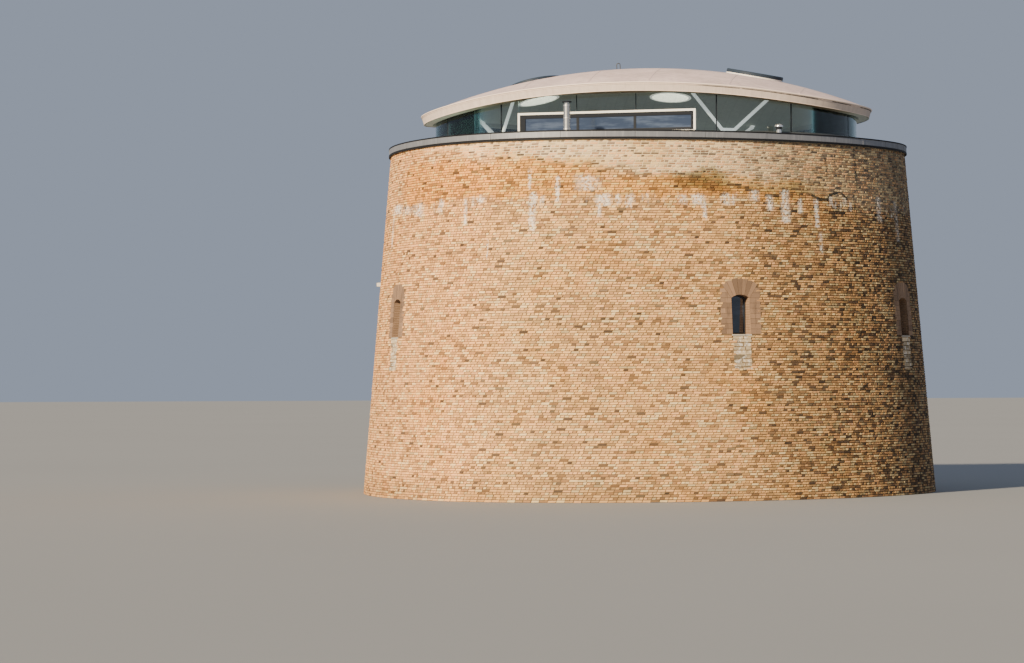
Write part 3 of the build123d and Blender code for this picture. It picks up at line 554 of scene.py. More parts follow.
class Paint:
    """A material under construction, with one method that adds a node."""

    def __init__(self, name):
        self.material = bpy.data.materials.new(name)
        self.material.use_nodes = True
        self.tree = self.material.node_tree
        self.tree.nodes.clear()
        self.place = self.node("ShaderNodeTexCoord", output="Object")
        self.x, self.y, self.z = self.parts(self.place)

    def node(self, kind, settings=None, links=None, output=0):
        """Add a node of a type, give its settings, then the values or links of its sockets."""
        made = self.tree.nodes.new(kind)
        for key, value in (settings or {}).items():
            if key == "stops":
                self.set_stops(made.color_ramp, value)
            else:
                setattr(made, key, value)
        for key, value in (links or {}).items():
            if isinstance(value, Value):
                self.tree.links.new(value.socket, made.inputs[key])
            else:
                made.inputs[key].default_value = value
        return Value(self, made.outputs[output])

    @staticmethod
    def set_stops(ramp, stops):
        """Give a ramp its stops, each a place and a grey or a colour."""
        while len(ramp.elements) < len(stops):
            ramp.elements.new(1.0)
        for element, (place, colour) in zip(ramp.elements, stops):
            element.position = place
            colour = (colour,) * 3 if isinstance(colour, float) else tuple(colour)
            element.color = colour + (1.0,)

    def parts(self, vector):
        """The three parts of a vector."""
        split = self.node("ShaderNodeSeparateXYZ", None, {0: vector})
        return [Value(self, socket) for socket in split.socket.node.outputs]

    def normal(self):
        """The three parts of the surface's normal, in the object's own directions."""
        return self.parts(self.node("ShaderNodeTexCoord", output="Normal"))

    def tone(self):
        """The colour stored at the mesh's points."""
        return self.node("ShaderNodeVertexColor", {"layer_name": "Tone"})

    def draw(self, number):
        """A random value from 0 to 1 that depends on a number alone."""
        return self.node("ShaderNodeTexWhiteNoise", {"noise_dimensions": "1D"}, {"W": number})

    def noise(self, scale, detail=3.0, rough=0.55, at=None):
        """Noise from 0 to 1 on the object's coordinates or on a given vector."""
        links = {"Vector": at or self.place, "Scale": scale, "Detail": detail, "Roughness": rough}
        return self.node("ShaderNodeTexNoise", None, links)

    def stretched(self, factors):
        """The object's coordinates times a factor each way."""
        return self.node("ShaderNodeVectorMath", {"operation": "MULTIPLY"}, {0: self.place, 1: factors})

    def rising(self, value, low, high):
        """0 below low, 1 above high and smooth between."""
        settings = {"interpolation_type": "SMOOTHSTEP"}
        return self.node("ShaderNodeMapRange", settings, {0: value, 1: low, 2: high})

    def within(self, value, low, high, soft):
        """1 between low and high, falling to 0 over a soft width outside them."""
        return self.rising(value, low - soft, low) * (1 - self.rising(value, high, high + soft))

    def line(self, value, middle, half, soft):
        """1 where a value is within half of the middle, falling to 0 at soft from it."""
        return 1 - self.rising((value - middle).size(), half, soft)

    def patches(self, scale, detail, low, high, at=None):
        """Patches of noise, from 0 below low to 1 above high."""
        return self.rising(self.noise(scale, detail, at=at), low, high)

    def blend(self, factor, first, second, mode="MIX"):
        """Colours mixed by a factor."""
        links = {0: factor, 6: rgba(first), 7: rgba(second)}
        return self.node("ShaderNodeMix", {"data_type": "RGBA", "blend_type": mode}, links, output=2)

    def film(self, factor, colour, tint_left):
        """A colour under a see-through film, given by what the film leaves of it."""
        return self.blend(factor, colour, tint_left, "MULTIPLY")

    def shade(self, colour, factor):
        """A colour made lighter or darker by a factor."""
        grey = self.node("ShaderNodeCombineColor", None, {0: factor, 1: factor, 2: factor})
        return self.blend(1.0, colour, grey, "MULTIPLY")

    def bump(self, height, distance, strength=1.0):
        """A normal bent by a height in metres."""
        links = {"Height": height, "Distance": distance, "Strength": strength}
        return self.node("ShaderNodeBump", None, links)

    def closed(self, links):
        """Finish with one Principled shader and return the material."""
        return self.finished(self.node("ShaderNodeBsdfPrincipled", None, links))

    def finished(self, shader):
        """Join a shader to the material's output and return the material."""
        end = self.tree.nodes.new("ShaderNodeOutputMaterial")
        self.tree.links.new(shader.socket, end.inputs["Surface"])
        return self.material


def rgba(colour):
    """A colour with its alpha, or the link as it is."""
    return colour if isinstance(colour, Value) else tuple(colour)[:3] + (1.0,)


# Weathering of the outer wall: turn, half width, top and bottom of each stain, and its strength
SALT_RUNS = (
    (-65.3, 4.5, 8.40, 8.12, 0.95), (-68.0, 1.0, 8.20, 7.10, 0.70), (-58.0, 4.0, 8.30, 8.05, 0.55),
    (-52.0, 3.0, 8.30, 7.95, 0.70), (-35.7, 0.55, 8.40, 7.62, 1.0), (-32.0, 1.6, 8.38, 8.22, 0.75),
    (-21.2, 0.45, 9.15, 8.50, 0.75), (-20.5, 0.9, 8.45, 7.35, 0.95), (-15.5, 0.6, 8.90, 8.15, 0.95),
    (-9.5, 3.2, 8.92, 8.45, 0.55), (-6.4, 2.0, 8.42, 8.05, 1.0), (-7.2, 0.5, 8.20, 7.72, 0.85),
    (-3.5, 0.8, 8.40, 8.15, 0.70), (-0.9, 1.0, 8.38, 8.12, 0.60), (-29.9, 0.22, 7.22, 6.68, 0.95),
    (9.7, 1.2, 8.42, 8.10, 0.80), (13.2, 2.0, 8.38, 8.08, 0.95), (14.6, 0.6, 8.20, 7.65, 0.90),
    (19.5, 1.1, 8.42, 8.05, 0.85), (26.2, 1.6, 8.55, 8.22, 0.60), (30.0, 1.2, 8.45, 7.95, 0.65),
    (34.0, 1.5, 8.58, 7.60, 0.90), (38.0, 0.8, 8.35, 7.85, 0.90), (42.6, 0.9, 8.38, 7.50, 0.95),
    (43.3, 0.7, 7.40, 6.75, 0.55), (51.6, 1.0, 8.42, 8.20, 0.55), (64.2, 1.5, 8.50, 7.75, 0.50),
    (72.0, 1.2, 8.45, 7.20, 0.40),
)
DARK_RUNS = (
    (46.5, 0.7, 9.70, 8.80, 0.75), (56.2, 0.9, 9.85, 8.80, 0.80), (48.5, 3.2, 8.35, 7.55, 0.50),
    (55.0, 2.4, 8.50, 7.60, 0.40), (-16.8, 1.0, 7.28, 7.12, 0.60), (49.5, 2.6, 5.75, 4.90, 0.45),
    (60.5, 2.0, 8.20, 7.30, 0.35),
)
# Where the rest of it lies: a first and a last turn or level, and the width that it fades over
DULL_AND_SHADE_TURNS = (-22, 120, 16)
GOLDEN_LEVELS = (8.45, 9.35, 0.22)
BAND_TURNS = (-10, 36, 8)
BAND_LEVELS = (8.40, 8.85, 0.15)
GROWTH_TURNS = (9, 19.5, 2.5)
GROWTH_LEVELS = (8.62, 8.98, 0.14)
THIN_GROWTH_TURNS = (26, 40, 5)
THIN_GROWTH_LEVELS = (8.55, 8.72, 0.15)
DAMP_AND_SHADE_TURNS = (34, 110, 14)
TIDE_LEVELS = (8.10, 8.38, 0.08)
# The painted shadow under a broken ledge: the turns and levels it lies between, then its level at shares of
# the way across
LEDGE_SHADOW_TURNS = (40.0, 55.0)
LEDGE_SHADOW_LEVELS = (8.2, 8.8)
LEDGE_SHADOW = ((0.09, 8.47), (0.24, 8.38), (0.40, 8.37), (0.45, 8.50), (0.62, 8.60), (0.72, 8.57),
         (0.84, 8.41))


def turn_about(paint, centre=(0, 0)):
    """Turn of a point about a place in plan, in degrees."""
    x, y = paint.x - centre[0], paint.y - centre[1]
    return x.math("ARCTAN2", x, 0 - y) * math.degrees(1)


def repair_rise(paint):
    """How far the repaired band's lower edge has fallen by the turn of a point."""
    return turn_about(paint).most(-REPAIR_LIMIT).least(REPAIR_LIMIT) * REPAIR_SLOPE


def runs(paint, turn, level, stains):
    """Greatest of a list of stains: each fades across from its turn and ends at its top and bottom."""
    mask = None
    for middle, half, top, bottom, strength in stains:
        across = (1 - ((turn - middle) / half).size()).clamped()
        down = paint.within(level, bottom + 0.12, top - 0.03, 0.10)
        stain = across * down * (1.6 * strength)
        mask = stain if mask is None else mask.most(stain)
    return mask.clamped()


def ledge_shadow_line(paint, level, turn):
    """Mask of the painted shadow under the broken ledge: its level at each turn comes from a ramp."""
    share = (turn - LEDGE_SHADOW_TURNS[0]) / (LEDGE_SHADOW_TURNS[1] - LEDGE_SHADOW_TURNS[0])
    span = LEDGE_SHADOW_LEVELS[1] - LEDGE_SHADOW_LEVELS[0]
    stops = [(place, (height - LEDGE_SHADOW_LEVELS[0]) / span) for place, height in LEDGE_SHADOW]
    course = paint.node("ShaderNodeValToRGB", {"stops": stops}, {0: share})
    middle = paint.node("ShaderNodeSeparateColor", None, {0: course}) * span + LEDGE_SHADOW_LEVELS[0]
    return paint.line(level, middle, 0.024, 0.056) * paint.within(share, 0.10, 0.83, 0.03)


def weathered(paint, colour, scene, hold=1.0):
    """The wall's colour with what years of rain and wet have done to it, and with painted shade.

    Golden lichen and pale repairs lie on the upper wall, salts run down under them, dark growth sits
    in patches, and the side away from the sun is darkened by grime and by painted shade. The middle
    and the right are tinted duller, partly their own colour and partly painted shade, and a painted
    shadow lies under a broken ledge. Noise breaks every edge. All but the repairs and the salts are
    films, which tint what is under them.
    """
    weather = scene.tower_weather
    coarse = paint.noise(0.9, 4.0)
    middling = paint.noise(3.0, 3.0)
    fine = paint.noise(14.0, 2.0)
    drips = paint.noise(1.0, 3.0, at=paint.stretched((5.0, 5.0, 0.7)))
    turn = turn_about(paint)
    level = paint.z
    loose_turn = turn + (middling - 0.5) * 3.0
    loose_level = level + (coarse - 0.5) * 0.9 + (fine - 0.5) * 0.25

    def area(turns, levels):
        return paint.within(loose_turn, *turns) * paint.within(loose_level, *levels)

    colour = paint.shade(colour, 0.80 + coarse * 0.40)
    repaired = paint.rising(loose_level + repair_rise(paint), 8.95, 9.30)
    pale = tuple(0.55 * salt + 0.45 * pink for salt, pink in zip(weather.salt, scene.tower_brickwork.pink))
    colour = paint.blend(repaired * (0.02 + fine * 0.14), colour, pale)
    # The middle and the right are tinted duller: partly their own colour, partly painted shade
    colour = paint.film(paint.within(turn, *DULL_AND_SHADE_TURNS), colour, weather.dull)

    golden = paint.within(loose_level, *GOLDEN_LEVELS) * (1 - paint.rising(turn, -14, 0))
    golden = golden * paint.rising(turn, -66, -56)
    band = paint.within(loose_level, *BAND_LEVELS) * paint.within(turn, *BAND_TURNS)
    scattered = paint.patches(0.55, 3.0, 0.50, 0.66) * (1 - paint.rising(turn, 40, 60))
    lichen = golden.most(band * 0.9).most(scattered * 0.38) * (0.45 + fine * 0.55)
    colour = paint.film(lichen * hold, colour, weather.lichen)

    growth = area(GROWTH_TURNS, GROWTH_LEVELS)
    growth = growth.most(area(THIN_GROWTH_TURNS, THIN_GROWTH_LEVELS) * 0.5)
    colour = paint.film((growth * (0.30 + drips)).clamped() * hold, colour, weather.algae)

    # The right, away from the key light, darkens: partly real grime and wet, partly painted shade
    damp_and_shade = paint.rising(loose_turn, 56, 76) * (1 - paint.rising(turn, 104, 150))
    damp_and_shade = (damp_and_shade * 0.68).most(paint.within(loose_turn, *DAMP_AND_SHADE_TURNS) * 0.28)
    damp_and_shade = damp_and_shade.most(runs(paint, loose_turn, loose_level, DARK_RUNS) * 0.8)
    foot = 1 - paint.rising(loose_level, 0.0, 0.9)
    damp_and_shade = damp_and_shade.most(foot * 0.35)
    spots = paint.patches(8.5, 2.0, 0.54, 0.66) * (0.30 + paint.rising(turn, 5, 48) * 0.75)
    colour = paint.film((damp_and_shade + spots * 0.42) * (0.45 + drips * 0.75) * hold, colour, weather.soot_and_shade)

    steep_turn = turn + (fine - 0.5) * 1.4
    salts = runs(paint, steep_turn, level + (middling - 0.5) * 0.30, SALT_RUNS)
    tide = paint.within(loose_level, *TIDE_LEVELS) * paint.rising(drips, 0.50, 0.62)
    wander = paint.patches(0.8, 2.0, 0.50, 0.60, at=paint.stretched((1.0, 1.0, 0.25)))
    salts = salts.most(tide * wander * 0.7)
    cover = (salts * paint.rising(fine, 0.36, 0.56) * (0.10 + drips * 1.25)).clamped()
    colour = paint.blend(cover * hold, colour, weather.salt)
    # Painted shadow: a dark line under a jagged ledge of broken brickwork
    ledge_shadow = ledge_shadow_line(paint, level + (fine - 0.5) * 0.14, turn)
    return paint.film(ledge_shadow * hold, colour, weather.soot_and_shade)


def brick_material(scene):
    """Brick faces: each brick's own tone, weathered, with a sandy grain."""
    paint = Paint("brick_faces")
    grain = paint.noise(60.0, 3.0)
    colour = weathered(paint, paint.shade(paint.tone(), 0.82 + grain * 0.36), scene)
    pits = paint.noise(90.0, 4.0, 0.7)
    return paint.closed({
        "Base Color": colour, "Roughness": 0.86 + grain * 0.12,
        "Normal": paint.bump(pits, 0.004, 0.6)})


def core_material(scene):
    """The wall's core: mortar on the outer face, brick in the reveals, limewash on the inner faces.

    The normal against the way out from the middle tells the three apart.
    """
    bricks = scene.tower_brickwork
    paint = Paint("wall_core")
    side_x, side_y, _ = paint.normal()
    reach = paint.x * paint.x + paint.y * paint.y
    reach = reach.math("SQRT", reach).most(0.01)
    facing = (side_x * paint.x + side_y * paint.y) / reach
    outer = paint.rising(facing, 0.60, 0.85)
    inner = 1 - paint.rising(facing, -0.85, -0.60)

    grain = paint.noise(45.0, 4.0)
    edge = paint.z + repair_rise(paint) + (paint.noise(1.3, 4.0) - 0.5) * 0.9
    mortar = paint.blend(paint.rising(edge, 9.0, 9.2), bricks.mortar, bricks.fresh)
    # Painted shade: the mortar darkens towards the right, where the key light grazes the wall and the bricks
    # shade their joints
    painted_joint_shade = paint.rising(turn_about(paint), 18, 50) * 0.45
    mortar = paint.shade(mortar, (0.70 + grain * 0.6) * (1 - painted_joint_shade))
    mortar = weathered(paint, mortar, scene, 0.85)

    along = turn_about(paint) * math.radians(1) * ROOF_ROOM_RADIUS
    bed = paint.z % bricks.course
    row = (paint.z - bed) / bricks.course
    shift = (row % 2.0) * (bricks.stretcher / 4)
    perpend = (along + shift) % (bricks.stretcher / 2)
    joint = bricks.joint
    courses = paint.line(bed, joint / 2, joint / 2, joint)
    uprights = paint.line(perpend, joint / 2, joint / 2, joint)
    lines = courses.most(uprights * (inner + outer).clamped())
    patch = paint.noise(1.7, 4.0)
    washed = paint.shade(bricks.limewash, 0.80 + patch * 0.35)
    bare = paint.shade(bricks.rubbed, 0.70 + paint.noise(9.0, 2.0) * 0.75)
    washed = paint.blend(paint.rising(patch, 0.56, 0.66) * 0.75, washed, bare)
    bare = paint.blend(courses * 0.6, bare, bricks.mortar)
    colour = paint.blend(outer, paint.blend(inner, bare, washed), mortar)
    return paint.closed({
        "Base Color": colour, "Roughness": 0.88 + grain * 0.10,
        "Normal": paint.bump(grain * 0.4 - lines * (1 - outer), 0.006, 0.8)})


def rubbed_material(scene):
    """Smooth rubbed bricks round the openings, duller than the wall."""
    paint = Paint("rubbed_brick")
    grain = paint.noise(30.0, 4.0)
    colour = paint.film(1.0, paint.tone(), scene.tower_brickwork.rubbed)
    colour = paint.shade(colour, 0.85 + grain * 0.3)
    streaks = paint.patches(1.0, 3.0, 0.52, 0.70, at=paint.stretched((9.0, 9.0, 1.2)))
    colour = paint.film(streaks * 0.45, colour, scene.tower_weather.soot_and_shade)
    return paint.closed({
        "Base Color": colour, "Roughness": 0.80 + grain * 0.12,
        "Normal": paint.bump(grain, 0.003, 0.5)})


def infill_material(scene):
    """Pale worn blocks with chalky patches and dark pits."""
    paint = Paint("infill_blocks")
    grain = paint.noise(24.0, 4.0, 0.65)
    colour = paint.film(1.0, paint.tone(), scene.tower_brickwork.infill)
    colour = paint.shade(colour, 0.45 + grain * 1.1)
    chalk = paint.patches(9.0, 3.0, 0.52, 0.60)
    colour = paint.blend(chalk * 0.5, colour, scene.tower_weather.salt)
    return paint.closed({
        "Base Color": colour, "Roughness": 0.90 - chalk * 0.06,
        "Normal": paint.bump(grain, 0.010, 0.7)})


def painted(name, colour, rough=0.45, metal=0.0, wear=0.12, glow=0.0, shine=0.5):
    """Paint or bare metal with cloudy tone, run marks and fine dimples. A glow stands for daylight
    that has gone round a room."""
    paint = Paint(name)
    cloud = paint.noise(6.0, 4.0)
    streak = paint.noise(2.0, 3.0, at=paint.stretched((8.0, 8.0, 1.0)))
    tone = paint.shade(colour, (1 - wear) + cloud * wear * 1.3 + streak * wear * 0.7)
    return paint.closed({
        "Base Color": tone, "Roughness": rough - 0.08 + cloud * 0.16, "Metallic": metal,
        "Specular IOR Level": shine, "Emission Color": tone, "Emission Strength": glow,
        "Normal": paint.bump(paint.noise(150.0, 2.0), 0.0006, 0.35)})


def column_material(scene):
    """White paint with a painted glow, strongest towards the columns' feet, that stands in for sunlight and
    daylight on them.
    """
    paint = Paint("column_paint")
    cloud = paint.noise(6.0, 4.0)
    tone = paint.shade(scene.tower_metalwork.column, 0.92 + cloud * 0.10)
    # Painted light: the glow grows towards the feet, which stand in the sun below the roof's shade
    foot = 1 - paint.rising(paint.z, COPING_TOP + 0.3, COPING_TOP + 1.0)
    return paint.closed({
        "Base Color": tone, "Roughness": 0.34 + cloud * 0.1,
        "Emission Color": paint.shade(tone, 0.60 + foot * 0.30), "Emission Strength": 1.0})


def capping_material(scene):
    """Dull sheet metal: blue-grey with paler runs, and darker on the side away from the sun."""
    metal = scene.tower_metalwork
    paint = Paint("capping_sheet")
    cloud = paint.noise(2.2, 4.0)
    streak = paint.noise(1.0, 3.0, at=paint.stretched((14.0, 14.0, 1.5)))
    colour = paint.shade(metal.capping, 0.70 + cloud * 0.30 + streak * 0.35)
    pale = tuple(0.6 * channel + 0.25 for channel in metal.capping)
    colour = paint.blend(paint.rising(streak, 0.56, 0.70) * 0.40, colour, pale)
    turn = turn_about(paint)
    shady = paint.rising(turn + cloud * 8, 60, 86) * (1 - paint.rising(turn, 104, 150))
    colour = paint.blend(shady * 0.35, colour, metal.nosing_and_shade)
    return paint.closed({
        "Base Color": colour, "Metallic": 0.35, "Roughness": 0.42 + cloud * 0.22,
        "Normal": paint.bump(paint.noise(18.0, 2.0), 0.0015, 0.5)})


def groove_material(scene):
    """The groove along the roof's edge: pale at the front and the left, dark and broken on the right as
    painted shade.
    """
    paint = Paint("edge_groove")
    # Painted shade: the groove darkens in broken patches on the right, away from the key light
    dark = paint.within(turn_about(paint, ROOF_CENTRE), 14, 112, 8) * paint.patches(1.4, 3.0, 0.40, 0.50)
    colour = paint.blend(dark, scene.tower_roof.fascia, scene.tower_metalwork.nosing_and_shade)
    return paint.closed({"Base Color": colour, "Roughness": 0.6 + dark * 0.3})


def membrane_material(scene):
    """Roofing membrane: pinkish cream on top, paler panels on the leaning edge, boards underneath.

    The normal's height tells top, edge and underside apart. Top and edge are painted darker towards the
    right as shade, and the boards underneath glow as painted daylight.
    """
    roof = scene.tower_roof
    paint = Paint("roof_membrane")
    lift = paint.normal()[2]
    top = paint.rising(lift, 0.62, 0.80)
    under = 1 - paint.rising(lift, -0.80, -0.62)

    cloud = paint.rising(paint.noise(0.8, 4.0), 0.38, 0.62)
    dust = paint.noise(6.0, 4.0, 0.6)
    turn = turn_about(paint, ROOF_CENTRE)
    # Painted shade: top and edge darken towards the right, away from the key light
    right = paint.rising(turn, 5, 80) * 0.14
    mottle = 0.78 + cloud * 0.14 + paint.rising(dust, 0.42, 0.58) * 0.12
    colour_top = paint.shade(roof.membrane, mottle * (1 - right))
    rust = paint.patches(2.6, 4.0, 0.54, 0.70) * 0.28
    colour_top = paint.blend(rust, colour_top, (0.42, 0.30, 0.22))

    joint = paint.line(turn % 2.4, 0.06, 0.05, 0.16)
    streak = paint.noise(1.0, 3.0, at=paint.stretched((9.0, 9.0, 2.0)))
    colour_edge = paint.shade(roof.fascia, (0.68 + streak * 0.46 + dust * 0.16) * (1 - right * 1.6))
    colour_edge = paint.shade(colour_edge, 1 - joint * 0.08)

    gap = paint.line((paint.x + paint.y * 0.1) % 0.30, 0.01, 0.006, 0.014)
    colour_under = paint.shade(roof.ceiling, (0.80 + dust * 0.4) * (1 - gap * 0.12))
    colour = paint.blend(under, paint.blend(top, colour_edge, colour_top), colour_under)
    height = dust * 0.5 + paint.noise(70.0, 2.0) * 0.2 - joint * (1 - top) * (1 - under) * 0.3
    # Painted light: the boards underneath glow, standing in for daylight in the room
    return paint.closed({
        "Base Color": colour, "Roughness": 0.58 + dust * 0.16, "Normal": paint.bump(height, 0.004, 0.5),
        "Emission Color": paint.shade(colour_under, under), "Emission Strength": ROOM_GLOW})


def soffit_material(scene):
    """Sheets laid in strips out from the roof's centre, with thin dark joints: dark over the front, pale and
    glowing at the sides and the back, which is painted light standing in for bright sky seen through the
    glass."""
    paint = Paint("soffit_sheet")
    turn = turn_about(paint, ROOF_CENTRE)
    # Painted light: the sides and the back take the ceiling's pale tint and glow; the front keeps the
    # soffit's dark colour
    front = paint.within(turn, -40, 45, 20)
    colour = paint.blend(front, scene.tower_roof.ceiling, scene.tower_roof.soffit)
    joint = paint.line(turn % 3.0, 0.1, 0.05, 0.14)
    cloud = paint.noise(3.0, 4.0)
    tone = paint.shade(colour, (0.82 + cloud * 0.36) * (1 - joint * 0.3))
    return paint.closed({
        "Base Color": tone, "Roughness": 0.39 + cloud * 0.14,
        "Emission Color": paint.shade(tone, 1 - front), "Emission Strength": ROOM_GLOW,
        "Normal": paint.bump(paint.noise(120.0, 2.0) * 0.3 - joint, 0.003, 0.5)})


def timber_material(name, colour, board, rough=0.6):
    """Boards along X with grain, knots of tone and open joints."""
    paint = Paint(name)
    edge = paint.y % board
    gap = paint.line(edge, 0.004, 0.003, 0.007)
    each = paint.draw((paint.y - edge) / board)
    grain = paint.noise(3.0, 5.0, 0.6, at=paint.stretched((1.0, 16.0, 16.0)))
    tone = paint.shade(colour, (0.62 + each * 0.35 + grain * 0.42) * (1 - gap * 0.75))
    return paint.closed({
        "Base Color": tone, "Roughness": rough - 0.08 + grain * 0.18,
        "Normal": paint.bump(grain * 0.25 - gap, 0.004, 0.6)})


def flag_material(name, colour, pitch):
    """Paving flags on a square grid, each of its own tone, with worn faces."""
    paint = Paint(name)
    across, along = paint.x % pitch, paint.y % pitch
    lines = paint.line(across, 0.008, 0.005, 0.012).most(paint.line(along, 0.008, 0.005, 0.012))
    each = paint.draw((paint.x - across) * 7.31 + (paint.y - along) * 13.17)
    wear = paint.noise(5.0, 5.0, 0.6)
    tone = paint.shade(colour, (0.66 + each * 0.28 + wear * 0.34) * (1 - lines * 0.55))
    return paint.closed({
        "Base Color": tone, "Roughness": 0.72 + wear * 0.16,
        "Normal": paint.bump(wear * 0.3 - lines, 0.005, 0.6)})


def glass_material(name, colour):
    """Sheet glass: a tinted see-through shader under a mirror that grows at low angles."""
    paint = Paint(name)
    smear = paint.noise(1.2, 3.0, at=paint.stretched((3.0, 3.0, 0.8)))
    through = paint.node("ShaderNodeBsdfTransparent", None, {"Color": rgba(colour)})
    facing = paint.node("ShaderNodeFresnel", None, {"IOR": 1.45})
    steep = tuple(0.85 * channel for channel in colour)
    sheen = paint.blend(paint.rising(facing, 0.10, 0.35), steep, (0.72, 0.95, 0.92))
    gloss = paint.node("ShaderNodeBsdfPrincipled", None, {
        "Base Color": sheen, "Roughness": 0.03 + smear * 0.05, "Metallic": 1.0})
    share = (facing * 1.2 + smear * 0.04).clamped()
    return paint.finished(paint.node("ShaderNodeMixShader", None, {0: share, 1: through, 2: gloss}))


def pane_material(name, colour, reflected_cloud_tone):
    """Dark panes with faint broad clouds and a clear coat: the blue of the tone and the clouds are a painted
    reflection of the sky.
    """
    paint = Paint(name)
    cloud = paint.noise(1.1, 4.0, at=paint.stretched((1.0, 1.0, 5.0)))
    # Painted reflection: the blue tone and the clouds stand in for the sky reflected in the panes
    tone = paint.blend(paint.rising(cloud, 0.42, 0.66), colour, reflected_cloud_tone)
    return paint.closed({
        "Base Color": tone, "Roughness": 0.05 + cloud * 0.04, "Coat Weight": 0.8,
        "Specular IOR Level": 0.8})


def glow_material(name, strength):
    """White sheet with a painted glow that stands in for the daylight it passes."""
    paint = Paint(name)
    tone = paint.shade((1.0, 0.98, 0.88), 0.92 + paint.noise(3.0, 2.0) * 0.12)
    return paint.closed({
        "Base Color": tone, "Roughness": 0.5, "Emission Color": tone, "Emission Strength": strength})


def steel_material(name, colour, rough):
    """Bright steel with rubbed marks round it and dull patches."""
    paint = Paint(name)
    rub = paint.noise(4.0, 4.0, at=paint.stretched((1.0, 1.0, 40.0)))
    dull = paint.noise(9.0, 3.0)
    return paint.closed({
        "Base Color": paint.shade(colour, 0.78 + rub * 0.25 + dull * 0.15), "Metallic": 0.9,
        "Roughness": rough + dull * 0.14, "Normal": paint.bump(rub, 0.0006, 0.4)})


# Pieces

def openings():
    """Name, turn, sill level, half width, height and arch rise of every opening."""
    windows = [(name, turn, WINDOW_SILL, WINDOW_WIDTH / 2, WINDOW_HEIGHT, WINDOW_RISE)
               for name, turn in WINDOW_TURNS.items()]
    return windows + [("door", DOOR_TURN, DOOR_SILL, DOOR_WIDTH / 2, DOOR_HEIGHT, DOOR_RISE)]


def arch_circle(half, height, rise):
    """Radius of a segmental arch and the height of its centre over the sill."""
    radius = (half ** 2 + rise ** 2) / (2 * rise)
    return radius, height - radius


def dressed(walked_to, total, walked, level):
    """True where a brick's middle lies in an opening, its rubbed surround or the infill below it."""
    side_lap, head_lap, swing_margin = 0.02, 0.03, 0.06
    jamb_foot, infill_head = -0.05, -0.04
    taken = np.zeros(walked.shape, bool)
    for name, turn, sill, half, height, rise in openings():
        away = (walked - walked_to(turn) + total / 2) % total - total / 2
        up = level - sill
        radius, centre = arch_circle(half, height, rise)
        fan = (np.hypot(away, up - centre) < radius + ARCH_DEPTH - head_lap) & (up > 0)
        fan &= np.abs(np.arctan2(away, up - centre)) < math.asin(half / radius) + swing_margin
        head = height - rise + 2 * SHOULDER - head_lap
        jambs = (np.abs(away) < half + JAMB_WIDTH - side_lap) & (up > jamb_foot) & (up < head)
        below = (np.abs(away) < half - side_lap) & (up > -INFILL_HEIGHT) & (up <= infill_head)
        taken |= fan | jambs | (below & (name != "door"))
    return taken


def brick_tones(rng, repaired, turn, bricks):
    """Colour of each brick: a draw from the tones, wilder in the repaired band and on the right.

    The chances are of the tones in their order. Each colour leans towards one of the first three.
    """
    right_start, right_width, right_end = 18, 30, 140
    most_lean, calm_spread, wild_spread, brightest = 0.2, 0.24, 0.22, 0.95
    count = len(turn)
    tones = np.array([bricks.buff, bricks.pale, bricks.pink, bricks.brown, bricks.burnt])
    calm = np.array([0.54, 0.15, 0.18, 0.105, 0.025])
    wild = np.array([0.16, 0.34, 0.16, 0.15, 0.19])
    # Chances on the right, away from the key light: darker bricks from grime and wet, and wilder tones that
    # partly paint the light and shade of the grazing key light
    damp_and_shade = np.array([0.30, 0.24, 0.12, 0.15, 0.19])
    right = np.clip((turn - right_start) / right_width, 0, 1)[:, None] * (turn < right_end)[:, None]
    chances = np.where(repaired[:, None], wild, calm * (1 - right) + damp_and_shade * right)
    draw = rng.random(count)[:, None]
    pick = (draw > np.cumsum(chances, 1)).sum(1).clip(0, len(tones) - 1)
    nearby = tones[rng.integers(0, 3, count)]
    share = rng.random((count, 1)) * most_lean
    colour = tones[pick] * (1 - share) + nearby * share
    spread = calm_spread + wild_spread * np.maximum(repaired[:, None], right)
    colour = colour * np.exp(rng.normal(0, 1, (count, 1)) * spread)
    return colour * np.minimum(1, brightest / colour.max(1, keepdims=True))


def in_repair(level, turn, rng):
    """True for bricks of the repaired band along the top, whose lower edge falls towards the right."""
    ragged = 0.08
    fall = np.clip(turn, -REPAIR_LIMIT, REPAIR_LIMIT) * REPAIR_SLOPE
    return level + fall > REPAIR_LEVEL + rng.normal(0, ragged, np.shape(turn))


